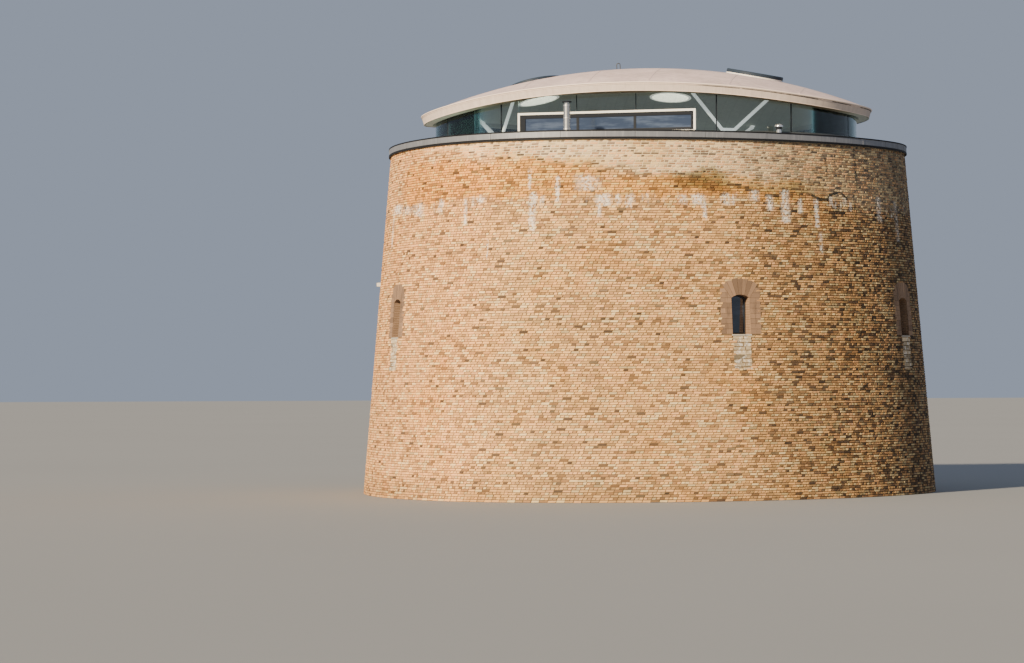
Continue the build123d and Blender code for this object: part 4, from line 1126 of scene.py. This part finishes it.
def lay_bricks(scene):
    """Brick facing over the whole outer wall, in courses of stretchers and headers in turn.

    A brick's corners are walked along the outline at its course's level and stood out of the mortar,
    each with a little stray. Bricks inside an opening's surround are left out.
    """
    bricks = scene.tower_brickwork
    rng = np.random.default_rng(scene.tower_stage.grain)
    course_stray, length_stray, bed_stray = 0.06, 0.003, 0.0028
    worn_turn, worn_half, worn_share = 65, 40, 0.5
    upright_joint = 1.5
    least_proud, most_proud = 0.002, 0.022
    corners, tones, middles = [], [], []
    for number in range(int(WALL_HEIGHT / bricks.course) + 1):
        low = number * bricks.course
        high = min(low + bricks.course, WALL_HEIGHT)
        if high - low < 2 * bricks.joint:
            continue
        level = (low + high) / 2
        knots, _, walked = wall_arcs(np.array(level))
        total = walked[-1]
        pitch = bricks.stretcher / (1 + number % 2)
        count = int(round(total / pitch))
        pitch = total / count
        shift = rng.normal(0, pitch * course_stray) + (number % 4) * pitch / 4
        middle = (np.arange(count) + 0.5) * pitch + shift
        middle_turn = np.interp(middle % total, walked, knots)

        def walked_to(turn):
            return np.interp((turn - knots[0]) % FULL_TURN + knots[0], knots, walked)

        keep = ~dressed(walked_to, total, middle % total, level)
        middle, middle_turn = middle[keep], middle_turn[keep]
        count = len(middle)
        turn = (middle_turn + FULL_TURN / 2) % FULL_TURN - FULL_TURN / 2
        repaired = in_repair(level, turn, rng)
        opened = np.maximum(repaired, worn_share * (np.abs(turn - worn_turn) < worn_half))
        joint = bricks.joint + bricks.loose * opened
        half = (pitch - upright_joint * joint) / 2 + rng.normal(0, length_stray, count)
        across = middle[:, None] + half[:, None] * LEFT_RIGHT
        trim = joint[:, None] / 2 + np.abs(rng.normal(0, bed_stray, (count, 2)))
        foot, head = low + trim[:, 0], high - trim[:, 1]
        across = across + rng.normal(0, bricks.ragged, (count, 4))
        levels = np.stack([foot, foot, head, head], 1) + rng.normal(0, bricks.ragged, (count, 4))
        front = bricks.proud + rng.normal(0, bricks.lean, (count, 1))
        for slope in (LEFT_RIGHT, DOWN_UP):
            front = front + rng.normal(0, bricks.lean, (count, 1)) * slope
        corners.append(wall_blocks(WALL_START, across, levels, front.clip(least_proud, most_proud)))
        tones.append(brick_tones(rng, repaired, turn, bricks))
        middles.append(middle_turn)
    corners, tones = np.concatenate(corners), np.concatenate(tones)
    quarter = (np.concatenate(middles) + QUARTER_TURN / 2) % FULL_TURN // QUARTER_TURN
    material = brick_material(scene)
    for index, side in enumerate(("front", "right", "back", "left")):
        chosen = quarter == index
        new_blocks("bricks_" + side, corners[chosen], material, "brickwork", tones[chosen])


def surround_blocks(half, height, rise):
    """Corners, by distance and height, of the rubbed bricks round one opening.

    Voussoirs fan about the arch's centre between two radii. Jamb blocks are long and short in turn,
    and two shoulder blocks a side fill up to the fan.
    """
    voussoir, block_height, joint, short_share = 0.075, 0.140, 0.006, 0.55
    radius, centre = arch_circle(half, height, rise)
    swing = math.asin(half / radius)
    number = int(2 * swing * radius / voussoir) | 1
    edges = np.linspace(-swing, swing, number + 1)
    gap = joint / 2 / radius
    fan = quad(edges[:-1] + gap, edges[1:] - gap, radius, radius + ARCH_DEPTH)
    across = np.stack([reach * np.sin(angle) for angle, reach in fan], 1)
    up = centre + np.stack([reach * np.cos(angle) for angle, reach in fan], 1)
    blocks = [np.stack([across, up], -1)]

    spring = height - rise
    rows = int(round(spring / block_height))
    step = spring / rows
    short, far = half + JAMB_WIDTH * short_share, half + JAMB_WIDTH
    for row in range(rows):
        foot, head = row * step + joint / 2, (row + 1) * step - joint / 2
        spans = [(half, far)] if row % 2 else [(half, short), (short + joint, far)]
        for side in (-1, 1):
            for span in spans:
                blocks.append([quad(*sorted(side * end for end in span), foot, head)])
    for row in range(2):
        foot, head = spring + SHOULDER * row + joint / 2, spring + SHOULDER * (row + 1) - joint / 2
        low, high = ((level - centre) * math.tan(swing) + joint for level in (foot, head))
        blocks.append([[(low, foot), (far, foot), (far, head), (high, head)],
                       [(-far, foot), (-low, foot), (-high, head), (-far, head)]])
    return np.concatenate(blocks)


def infill_blocks(rng, half):
    """Corners, by distance and height, of the ragged blocks under a sill, two to a row."""
    shortest, tallest, off_middle = 0.075, 0.150, 0.45
    inset, ragged = 0.010, 0.006
    blocks, level = [], -0.050
    while level > -INFILL_HEIGHT:
        tall = rng.uniform(shortest, tallest)
        cut = half * rng.uniform(-off_middle, off_middle)
        for left, right in ((-half, cut), (cut, half)):
            stray = rng.normal(0, ragged, (4, 2))
            corners = quad(left + inset, right - inset, level - tall + inset, level - inset)
            blocks.append(corners + stray)
        level -= tall
    return np.array(blocks)


def dress_openings(scene):
    """Rubbed brick surrounds, stone sills, and pale infill blocks under the windows."""
    rng = np.random.default_rng(scene.tower_stage.grain + 1)
    rubbed, infill = rubbed_material(scene), infill_material(scene)
    stone = flag_material("sill_stone", (0.46, 0.41, 0.34), 3.0)
    rubbed_proud, rubbed_stray, rubbed_spread = 0.010, 0.0008, 0.14
    infill_proud, infill_stray, infill_spread = 0.009, 0.003, 0.25
    sill_proud, sill_foot, sill_head = 0.020, -0.045, -0.004
    for name, turn, sill, half, height, rise in openings():

        def face(kind, blocks, front, material, tones=None):
            points = wall_blocks(turn, blocks[..., 0], sill + blocks[..., 1], front)
            new_blocks(kind + name, points, material, "brickwork", tones)

        blocks = surround_blocks(half, height, rise)
        count = len(blocks)
        front = (rubbed_proud + rng.normal(0, rubbed_stray, (count, 1))) * np.ones(4)
        tones = (1 + rng.normal(0, rubbed_spread, (count, 1))) * (1, 0.99, 0.97)
        face("surround_", blocks, front, rubbed, tones)
        wide = half + (0.05 if name == "door" else 0.02)
        face("sill_", np.array([quad(-wide, wide, sill_foot, sill_head)]), sill_proud, stone)
        if name != "door":
            blocks = infill_blocks(rng, half)
            count = len(blocks)
            stray = rng.normal(0, infill_stray, (count, 4)).clip(-2 * infill_stray, 2 * infill_stray)
            tones = (1 + rng.normal(0, infill_spread, (count, 1))).clip(0.4, 1.6)
            face("infill_", blocks, infill_proud + stray, infill, tones)


def trim_coping(scene):
    """Dark lip along the capping, a dark skirt under it as painted shade, cover straps over its joints, and
    flags behind it.
    """
    metal = scene.tower_metalwork
    sheet = capping_material(scene)
    dark = painted("capping_lip_and_shade", metal.nosing_and_shade, 0.6, shine=0.1)
    lip = [(0.0, 0.0), (0.0, -0.024), (0.009, -0.024), (0.009, 0.006), (0.004, 0.012), (-0.030, 0.012),
           (-0.030, 0.0)]
    # Painted shade: a dark skirt hangs under the capping's edge, where its overhang shades the wall
    drip = [(-0.016, 0.0), (0.0, 0.0), (0.0, 0.012), (0.010, 0.004), (0.010, -0.050), (-0.016, -0.050)]
    for name, level, profile in (("lip", COPING_TOP, lip), ("drip", WALL_HEIGHT, drip)):
        path = raised(wall_plan(CAPPING_RADIUS, DEGREES), level)
        new_piece("coping_" + name, *sweep(path, flat(outward(DEGREES)), profile), dark, "capping")

    strap_step, strap_half, strap_proud, strap_margin = 7.5, 0.030, 0.004, 0.014
    straps = [box_points(wall_plan(CAPPING_RADIUS, turn), turn, strap_half, strap_proud,
                         WALL_HEIGHT + strap_margin, COPING_TOP - strap_margin)
              for turn in np.arange(0, FULL_TURN, strap_step)]
    new_blocks("coping_straps", straps, sheet, "capping")

    rng = np.random.default_rng(scene.tower_stage.grain + 2)
    first, depth, flag_turn, gap, clear = 0.17, 0.42, 4.5, 0.06, 0.45
    bed, thick, uneven = 0.002, 0.030, 0.0015
    flags = []
    for row in range(4):
        near = first + depth * row
        for start in np.arange(0, FULL_TURN, flag_turn):
            polar = start + (row % 2) * flag_turn / 2
            face = quad(polar + gap, polar + flag_turn - gap, near, near + depth)
            corners = np.array([glass_line(angle) + outward(angle) * reach for angle, reach in face])
            if inside(wall_plan, CAPPING_RADIUS - clear, 5, corners).all():
                high = COPING_TOP + thick + rng.normal(0, uneven)
                flags.append(np.concatenate([raised(corners, COPING_TOP + bed), raised(corners, high)]))
    faces = block_faces(len(flags))[:, ::-1]
    stone = flag_material("terrace_stone", metal.paving, 6.0)
    new_piece("terrace_flags", np.array(flags), faces, stone, "capping")


def trim_roof(scene):
    """Welded laps over the membrane, beads along both edges of the fascia painted pale as a highlight, and
    rooflight linings, flashings and diffusers, the linings and diffusers glowing as painted daylight.
    """
    roof = scene.tower_roof
    lap = painted("membrane_lap", [0.86 * channel for channel in roof.membrane], 0.6, 0.0, 0.14)
    # Painted highlight: the beads are paler than the fascia along both its edges
    bead = painted("edge_bead", [min(1.22 * channel, 1) for channel in roof.fascia], 0.5, 0.0, 0.10)

    laps = []
    ahead, aside = -outward(LAP_HEADING), sideways(LAP_HEADING)
    half, foot, side, head = roof.seam_width / 2, -0.004, 0.002, 0.005
    slope = 0.004
    profile = [(-half, foot), (half, foot), (half, side), (half - slope, head), (-half + slope, head),
               (-half, side)]
    edge_clear, kerb_clear = 0.05, 0.06
    steps = np.linspace(-7.5, 7.5, 151)[:, None]
    for offset in LAP_OFFSETS:
        plan = np.asarray(ROOF_CENTRE) + aside * offset + steps * ahead
        clear = inside(roof_plan, ROOF_CORNER_RADIUS - edge_clear, 4, plan)
        for *place, _ in ROOFLIGHTS:
            clear &= np.hypot(*(plan - place).T) > KERB_RADIUS + kerb_clear
        for run in np.split(np.arange(len(plan)), np.flatnonzero(np.diff(clear.astype(int))) + 1):
            if clear[run[0]] and len(run) > 3:
                line, ups = plan[run], dome_normal(plan[run])
                path = raised(line, dome_level(line))
                laps.append(sweep(path, np.cross(flat(ahead), ups), profile, ups, False))
    new_piece("roof_laps", *joined(laps), lap, "membrane")

    # Each line along the edge: its depth below the top, its radius and its finish
    edges = (("roof_bead_upper", 0.0, roof.bead_radius, bead),
             ("roof_groove", 0.045, 0.5 * roof.bead_radius, groove_material(scene)),
             ("roof_bead_lower", ROOF_THICKNESS, 0.4 * roof.bead_radius, bead))
    for name, depth, radius, finish in edges:
        edge = sweep(roof_edge(DEGREES, depth), flat(outward(DEGREES)), circle(radius, 8))
        new_piece(name, *edge, finish, "membrane", smooth=True)

    linings, diffusers, flashings = [], [], []
    inner, under = ROOFLIGHT_OPENING_RADIUS - 0.012, -ROOF_THICKNESS
    collar = KERB_RADIUS + 0.004
    for *place, kerb in ROOFLIGHTS:
        here = dome_frame(place)
        profile = [(inner, under - 0.02), (inner + 0.075, under - 0.02), (inner + 0.075, under - 0.008),
                   (inner + 0.010, under - 0.004), (inner + 0.010, kerb - 0.004), (inner, kerb - 0.004)]
        linings.append(turned(profile, here))
        diffusers.append(turned(quad(0.0005, inner - 0.002, kerb - 0.030, kerb - 0.024), here))
        if kerb < ROOF_THICKNESS / 2:
            profile = [(collar, -0.030), (LID_RADIUS, -0.034), (LID_RADIUS, kerb - 0.002),
                       (collar, kerb - 0.002)]
            flashings.append(turned(profile, here))
    # Painted light: the linings and the diffusers glow, standing in for daylight through the rooflights
    finishes = (("linings", linings, glow_material("rooflight_lining", 0.55)),
                ("flashing", flashings, painted("flashing_white", roof.kerb, 0.4)),
                ("diffusers", diffusers, glow_material("rooflight_diffuser", 1.5)))
    for name, parts, finish in finishes:
        new_piece("rooflight_" + name, *joined(parts), finish, "kerb")


def fit_glazing(scene):
    """Gaskets in the glass wall's joints, channels along its foot, dark strips inside the screen's frame as
    painted shade, and the screen's sill.
    """
    dark = painted("gasket_and_shade_dark", scene.tower_metalwork.sash_dark_and_shade, 0.7, shine=0.05)
    channel = painted("foot_channel", (0.09, 0.10, 0.10), 0.4, 0.5)
    wall_half, screen_half, half_depth = 0.013, 0.011, 0.015
    head_gap = 0.010
    gaskets = []
    for polar in GLASS_JOINTS:
        point = glass_line(polar)
        top = float(dome_level(point, RING_BEAM_DEPTH)) - head_gap
        gaskets.append(box_points(point, polar, wall_half, half_depth, GLASS_FOOT_LEVEL + 0.001, top))
    out, side = outward(SCREEN_TURN), sideways(SCREEN_TURN)
    for share in (1 / 3, 2 / 3):
        point = out * SCREEN_DISTANCE + side * (SCREEN_LEFT + (SCREEN_RIGHT - SCREEN_LEFT) * share)
        top = min(float(dome_level(point, RING_BEAM_DEPTH)), SCREEN_HEADER_LEVEL) - head_gap
        low = SCREEN_HEAD_LEVEL + 0.002
        gaskets.append(box_points(point, SCREEN_TURN, screen_half, half_depth, low, top))
    new_blocks("glass_gaskets", gaskets, dark, "beam")

    channels = []
    profile = quad(-0.006, 0.006, 0.0005, 0.024)
    joint_gap, aside = 0.1, 0.020
    ends = GLASS_JOINTS + (GLASS_JOINTS[0] + FULL_TURN,)
    for start, end in zip(ends, ends[1:]):
        if end - start < SCREEN_SPAN:
            polars = np.linspace(start + joint_gap, end - joint_gap, 14)
            line = raised(np.array([glass_line(polar) for polar in polars]), GLASS_FOOT_LEVEL)
            outs = flat(outward(polars))
            for shift in (-aside, aside):
                channels.append(sweep(line + outs * shift, outs, profile, closed=False))
    new_piece("glass_channels", *joined(channels), channel, "beam")

    left, right = SCREEN_LEFT + SCREEN_RAIL, SCREEN_RIGHT - SCREEN_RAIL
    top, foot = SCREEN_HEAD_LEVEL - SCREEN_RAIL, GLASS_FOOT_LEVEL + SCREEN_RAIL

    def strip(start, end, low, high, proud=0.031):
        middle = out * (SCREEN_DISTANCE + proud) + side * (start + end) / 2
        return box_points(middle, SCREEN_TURN, (end - start) / 2, 0.004, low, high)

    # Painted shade: dark strips at the head and the sides of the screen's panes, where the frame shades them
    shade_strips = [strip(left, right, top - 0.105, top), strip(left, left + 0.160, foot, top - 0.106),
              strip(right - 0.075, right, foot, top - 0.106)]
    new_blocks("screen_shade_strips", shade_strips, dark, "dark_sash")
    sill = strip(left - SCREEN_RAIL, right + SCREEN_RAIL, GLASS_FOOT_LEVEL, foot, 0.041)
    new_blocks("screen_sill", [sill], dark, "white_frame")


def fit_columns(scene):
    """Cast shoes and saddles on the V columns' bases, and sockets where they meet the roof."""
    paint = bpy.data.materials["column_paint"]
    shoe = [(0.001, 0.026), (0.085, 0.026), (0.075, 0.050), (0.050, 0.085), (0.001, 0.095)]
    socket = [(0.001, 0.0), (0.034, 0.0), (0.060, 0.05), (0.066, 0.12), (0.001, 0.12)]
    below = 0.16
    sockets, saddles = [], []
    for turn in COLUMN_TURNS:
        base = from_roof_centre(turn, COLUMN_FOOT_RADIUS)
        foot = Vector(raised(base, COPING_TOP))
        sockets.append(turned(shoe, Matrix.Translation(foot), 24))
        for side in (-1, 1):
            plan = from_roof_centre(turn + side * COLUMN_HEAD_TURN, COLUMN_HEAD_RADIUS)
            head = Vector(raised(plan, dome_level(plan, ROOF_THICKNESS) - 0.002))
            line = (head - foot).normalized()
            tilt = line.to_track_quat("Z", "Y").to_matrix().to_4x4()
            sockets.append(turned(socket, Matrix.Translation(head - line * below) @ tilt, 16))
        saddles.append(box_points(base, turn, 0.150, 0.060, COPING_TOP + 0.120, COPING_TOP + 0.225))
    new_piece("column_sockets", *joined(sockets), paint, "columns", smooth=True)
    new_blocks("column_saddles", saddles, paint, "columns")


def fit_door(scene):
    """Planks, strap hinges and a ring handle on the shut entrance door."""
    wood = timber_material("door_planks", (0.045, 0.060, 0.055), 0.12, 0.55)
    iron = painted("door_iron", (0.030, 0.030, 0.032), 0.55, 0.6)
    out, side = outward(DOOR_TURN), sideways(DOOR_TURN)
    face = wall_plan(wall_radius(DOOR_SILL), DOOR_TURN) - out * DOOR_REVEAL
    count, gap, plank_depth = 7, 0.003, 0.014
    half = DOOR_WIDTH / 2 - 0.085
    step = 2 * half / count
    low, high = DOOR_SILL + 0.02, DOOR_SILL + DOOR_HEIGHT - DOOR_RISE - 0.10
    planks = [box_points(face + side * (step * (index + 0.5) - half), DOOR_TURN, step / 2 - gap,
                         plank_depth, low, high) for index in range(count)]
    new_blocks("door_planks", planks, wood, "door")

    strap_half, strap_depth = 0.025, 0.006
    middle = face + side * 0.06 + out * 0.018
    straps = [box_points(middle, DOOR_TURN, half - 0.10, strap_depth, level - strap_half, level + strap_half)
              for level in (DOOR_SILL + 0.35, DOOR_SILL + 1.55)]
    ring_radius, ring_thickness = 0.055, 0.007
    centre = raised(face - side * 0.30 + out * 0.030, DOOR_SILL + 1.0)
    ring = circle(1.0, 24)
    spokes = ring[:, :1] * flat(side) + ring[:, 1:] * UP
    handle = sweep(centre + spokes * ring_radius, spokes, circle(ring_thickness, 8), flat(out))
    new_piece("door_iron", *joined([(straps, block_faces(len(straps))), handle]), iron, "door")


def fit_services(scene):
    """Bands and a dark rim on the flue, a black ring as painted shade in the slot under the vent's cap, and
    a guard over the wall light.
    """
    steel = steel_material("flue_bands", (0.72, 0.72, 0.71), 0.28)
    black = painted("vent_slot", scene.tower_metalwork.sash_dark_and_shade, 0.8, shine=0.05)
    wire = painted("lamp_wire", (0.30, 0.30, 0.29), 0.4, 0.7)
    sides = 32
    inner, outer = FLUE_RADIUS - 0.002, FLUE_RADIUS + 0.008
    profile = [(inner, -0.014), (outer, -0.012), (outer, 0.012), (inner, 0.014)]
    bands = [turned(profile, Matrix.Translation((*FLUE_PLACE, COPING_TOP + height)), sides)
             for height in (0.10, 0.40, FLUE_HEIGHT - 0.03)]
    new_piece("flue_bands", *joined(bands), steel, "flue")

    low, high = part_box("flue_cap")
    reach = (high[0] - low[0]) / 2
    place = Matrix.Translation((*FLUE_PLACE, low[2]))
    rim = turned(quad(reach - 0.004, reach + 0.010, -0.002, 0.020), place, sides)
    new_piece("flue_rim", *rim, black, "flue_cap")

    # Painted shade: the black ring stands in for the shaded slot under the vent's cap
    place = Matrix.Translation((*VENT_PLACE, COPING_TOP + VENT_HEIGHT - VENT_CAP_HEIGHT))
    slot = turned(quad(VENT_RADIUS - 0.002, VENT_RADIUS + 0.006, -0.070, -0.001), place, sides)
    new_piece("vent_slot", *slot, black, "white_vent")

    low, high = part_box("wall_lamp")
    half, depth, past = 0.005, 0.006, 0.004
    middle = np.array([low[0], (low[1] + high[1]) / 2]) + outward(LAMP_TURN) * depth
    bars = [box_points(middle + sideways(LAMP_TURN) * shift, LAMP_TURN, half, depth, low[2] - past,
                       high[2] + past) for shift in (-0.09, -0.03, 0.03, 0.09)]
    new_blocks("lamp_guard", bars, wire, "lamp")


def finish_nodes(scene):
    """Give every built node its own finish, by its name or by how its name starts."""
    metal, roof = scene.tower_metalwork, scene.tower_roof
    core = core_material(scene)
    glass = glass_material("sheet_glass", metal.glass)
    families = {
        "wall_": core, "parapet_": core, "glass_": glass,
        "roof_shell": membrane_material(scene), "v_column": column_material(scene),
    }
    finishes = {
        "ground_floor": flag_material("ground_flags", (0.30, 0.28, 0.25), 0.6),
        "upper_floor": timber_material("floor_boards", (0.30, 0.19, 0.10), 0.18),
        "gun_platform": flag_material("platform_flags", (0.34, 0.31, 0.27), 0.5),
        "coping": capping_material(scene),
        "glass_curb": painted("curb_paint", (0.10, 0.11, 0.12), 0.5, 0.3),
        # Painted light: the ring beam glows, standing in for daylight in the room
        "ring_beam": painted("beam_paint", (0.300, 0.310, 0.270), 0.5, glow=ROOM_GLOW),
        "cheek_panels": glass,
        "transom_glass": glass,
        "screen_frame": painted("screen_white", metal.frame_white, 0.35, 0.0, 0.06),
        "screen_sashes": painted("sash_dark_and_shade", metal.sash_dark_and_shade, 0.6, shine=0.1),
        "screen_panes": pane_material("screen_glass", (0.030, 0.045, 0.085), (0.070, 0.095, 0.155)),
        "soffit_panels": soffit_material(scene),
        "rooflight_kerbs": painted("kerb_flashing", roof.kerb, 0.5, 0.2),
        "rooflight_lids": painted("lid_glass", roof.lid, 0.5, shine=0.15),
        "flue_pipe": steel_material("flue_steel", (0.66, 0.65, 0.62), 0.18),
        "flue_cap": painted("flue_cap_metal", metal.sash_dark_and_shade, 0.8, shine=0.05),
        "vent_cowl": steel_material("vent_cap_steel", (0.86, 0.86, 0.84), 0.12),
        "roof_anchor": steel_material("anchor_steel", (0.10, 0.10, 0.10), 0.45),
        "wall_lamp": painted("lamp_body", (0.66, 0.62, 0.54), 0.45),
        "window_frames": painted("window_paint", metal.sash_dark_and_shade, 0.45),
        "window_panes": pane_material("window_glass", (0.010, 0.016, 0.030), (0.030, 0.045, 0.075)),
        "entrance_door": timber_material("door_wood", (0.040, 0.050, 0.048), 0.12),
        "entrance_frame": timber_material("frame_wood", (0.070, 0.075, 0.070), 0.40),
    }
    for name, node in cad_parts.items():
        finish = finishes.get(name)
        if finish is None:
            finish = next(shared for start, shared in families.items() if name.startswith(start))
        if not node.material_slots:
            node.data.materials.append(finish)
        for slot in node.material_slots:
            slot.material = finish


# Stage and camera

EYE = (0.0, -95.25, 3.40)
PICTURE_WIDTH = 1024
PICTURE_HEIGHT = 663
FOCAL_PIXELS = 3193.7
AHEAD_PIXEL = (636.6, 378.0)
HORIZON_SLOPE = -0.0047
SENSOR_WIDTH = 36.0
FLOOR_HALF = 400.0
KEY_COLOUR = (1.0, 0.83, 0.58)
KEY_SPREAD = math.radians(3)
FAR_CLIP = 1000.0


def set_stage(scene):
    """Pale floor, soft light from all round, a warm key from the left and a camera at the photo's place.

    The camera turns from straight ahead so that the ahead point falls on its pixel, and rolls by the
    slope of the horizon.
    """
    stage = scene.tower_stage
    mesh = bpy.data.meshes.new("floor")
    corners = raised(np.array(quad(-FLOOR_HALF, FLOOR_HALF, -FLOOR_HALF, FLOOR_HALF)), 0.0)
    mesh.from_pydata(corners.tolist(), [], [(0, 1, 2, 3)])
    floor = bpy.data.objects.new("floor", mesh)
    scene.collection.objects.link(floor)
    paint = Paint("floor_pale")
    cloud = paint.noise(0.05, 3.0)
    mesh.materials.append(paint.closed({
        "Base Color": paint.shade(stage.floor, 0.96 + cloud * 0.08), "Roughness": 0.9}))

    world = bpy.data.worlds.new("soft_sky")
    world.use_nodes = True
    back = world.node_tree.nodes["Background"]
    back.inputs["Color"].default_value = rgba(stage.sky)
    back.inputs["Strength"].default_value = 1.0
    scene.world = world

    key = bpy.data.lights.new("key", "SUN")
    key.energy = stage.sun
    key.angle = KEY_SPREAD
    key.color = KEY_COLOUR
    lamp = bpy.data.objects.new("key", key)
    plan = outward(math.degrees(stage.sun_turn)) * math.cos(stage.sun_height)
    source = Vector(raised(plan, math.sin(stage.sun_height)))
    lamp.rotation_euler = source.to_track_quat("Z", "Y").to_euler()
    scene.collection.objects.link(lamp)

    camera = bpy.data.cameras.new("camera")
    camera.sensor_width = SENSOR_WIDTH
    camera.lens = SENSOR_WIDTH * FOCAL_PIXELS / PICTURE_WIDTH
    camera.clip_end = FAR_CLIP
    view = bpy.data.objects.new("camera", camera)
    yaw = math.atan((AHEAD_PIXEL[0] - PICTURE_WIDTH / 2) / FOCAL_PIXELS)
    pitch = math.atan((AHEAD_PIXEL[1] - PICTURE_HEIGHT / 2) / FOCAL_PIXELS)
    roll = math.atan(HORIZON_SLOPE)
    turned_to = (Matrix.Rotation(yaw, 4, "Z") @ Matrix.Rotation(math.pi / 2 + pitch, 4, "X")
                 @ Matrix.Rotation(roll, 4, "Z"))
    view.matrix_world = Matrix.Translation(EYE) @ turned_to
    scene.collection.objects.link(view)
    scene.camera = view


# Operators, one for each group of pieces

class TowerOperator:
    """What the tower's operators share: each runs one builder on the scene."""
    bl_options = {"REGISTER", "UNDO"}
    build = None

    def execute(self, context):
        type(self).build(context.scene)
        return {"FINISHED"}


class TOWER_OT_finishes(TowerOperator, bpy.types.Operator):
    """Give every built node its finish"""
    bl_idname = "tower.finishes"
    bl_label = "Finishes"
    build = staticmethod(finish_nodes)


class TOWER_OT_bricks(TowerOperator, bpy.types.Operator):
    """Lay the brick facing on the outer wall"""
    bl_idname = "tower.bricks"
    bl_label = "Brick facing"
    build = staticmethod(lay_bricks)


class TOWER_OT_openings(TowerOperator, bpy.types.Operator):
    """Dress the windows and the entrance with rubbed brick, sills and infill"""
    bl_idname = "tower.openings"
    bl_label = "Openings"
    build = staticmethod(dress_openings)


class TOWER_OT_coping(TowerOperator, bpy.types.Operator):
    """Trim the capping and pave the terrace behind it"""
    bl_idname = "tower.coping"
    bl_label = "Capping and terrace"
    build = staticmethod(trim_coping)


class TOWER_OT_roof(TowerOperator, bpy.types.Operator):
    """Add the roof's laps, beads and rooflight linings"""
    bl_idname = "tower.roof"
    bl_label = "Roof"
    build = staticmethod(trim_roof)


class TOWER_OT_glazing(TowerOperator, bpy.types.Operator):
    """Fit the gaskets and channels of the glass wall"""
    bl_idname = "tower.glazing"
    bl_label = "Glazing"
    build = staticmethod(fit_glazing)


class TOWER_OT_columns(TowerOperator, bpy.types.Operator):
    """Fit shoes and sockets to the V columns"""
    bl_idname = "tower.columns"
    bl_label = "Columns"
    build = staticmethod(fit_columns)


class TOWER_OT_door(TowerOperator, bpy.types.Operator):
    """Plank and hang the entrance door"""
    bl_idname = "tower.door"
    bl_label = "Door"
    build = staticmethod(fit_door)


class TOWER_OT_services(TowerOperator, bpy.types.Operator):
    """Fit the flue, the vent and the wall light"""
    bl_idname = "tower.services"
    bl_label = "Flue, vent and light"
    build = staticmethod(fit_services)


class TOWER_OT_stage(TowerOperator, bpy.types.Operator):
    """Set the floor, the light and the camera"""
    bl_idname = "tower.stage"
    bl_label = "Stage"
    build = staticmethod(set_stage)


OPERATORS = (
    TOWER_OT_stage, TOWER_OT_finishes, TOWER_OT_bricks, TOWER_OT_openings, TOWER_OT_coping,
    TOWER_OT_roof, TOWER_OT_glazing, TOWER_OT_columns, TOWER_OT_door, TOWER_OT_services,
)


class TOWER_PT_panel(bpy.types.Panel):
    """Lists the steps and the settings in the sidebar"""
    bl_label = "Brick tower"
    bl_idname = "TOWER_PT_panel"
    bl_space_type = "VIEW_3D"
    bl_region_type = "UI"
    bl_category = "Tower"

    def draw(self, context):
        for operator in OPERATORS:
            self.layout.operator(operator.bl_idname)
        for name, group in SETTINGS.items():
            box = self.layout.box()
            for key in group.__annotations__:
                box.prop(getattr(context.scene, name), key)


def register():
    for name, group in SETTINGS.items():
        bpy.utils.register_class(group)
        setattr(bpy.types.Scene, name, PointerProperty(type=group))
    for operator in OPERATORS:
        bpy.utils.register_class(operator)
    bpy.utils.register_class(TOWER_PT_panel)


def unregister():
    bpy.utils.unregister_class(TOWER_PT_panel)
    for operator in reversed(OPERATORS):
        bpy.utils.unregister_class(operator)
    for name, group in SETTINGS.items():
        delattr(bpy.types.Scene, name)
        bpy.utils.unregister_class(group)


def main():
    """Register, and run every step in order."""
    register()
    for operator in OPERATORS:
        group, step = operator.bl_idname.split(".")
        getattr(getattr(bpy.ops, group), step)()


if __name__ == "__main__":
    main()
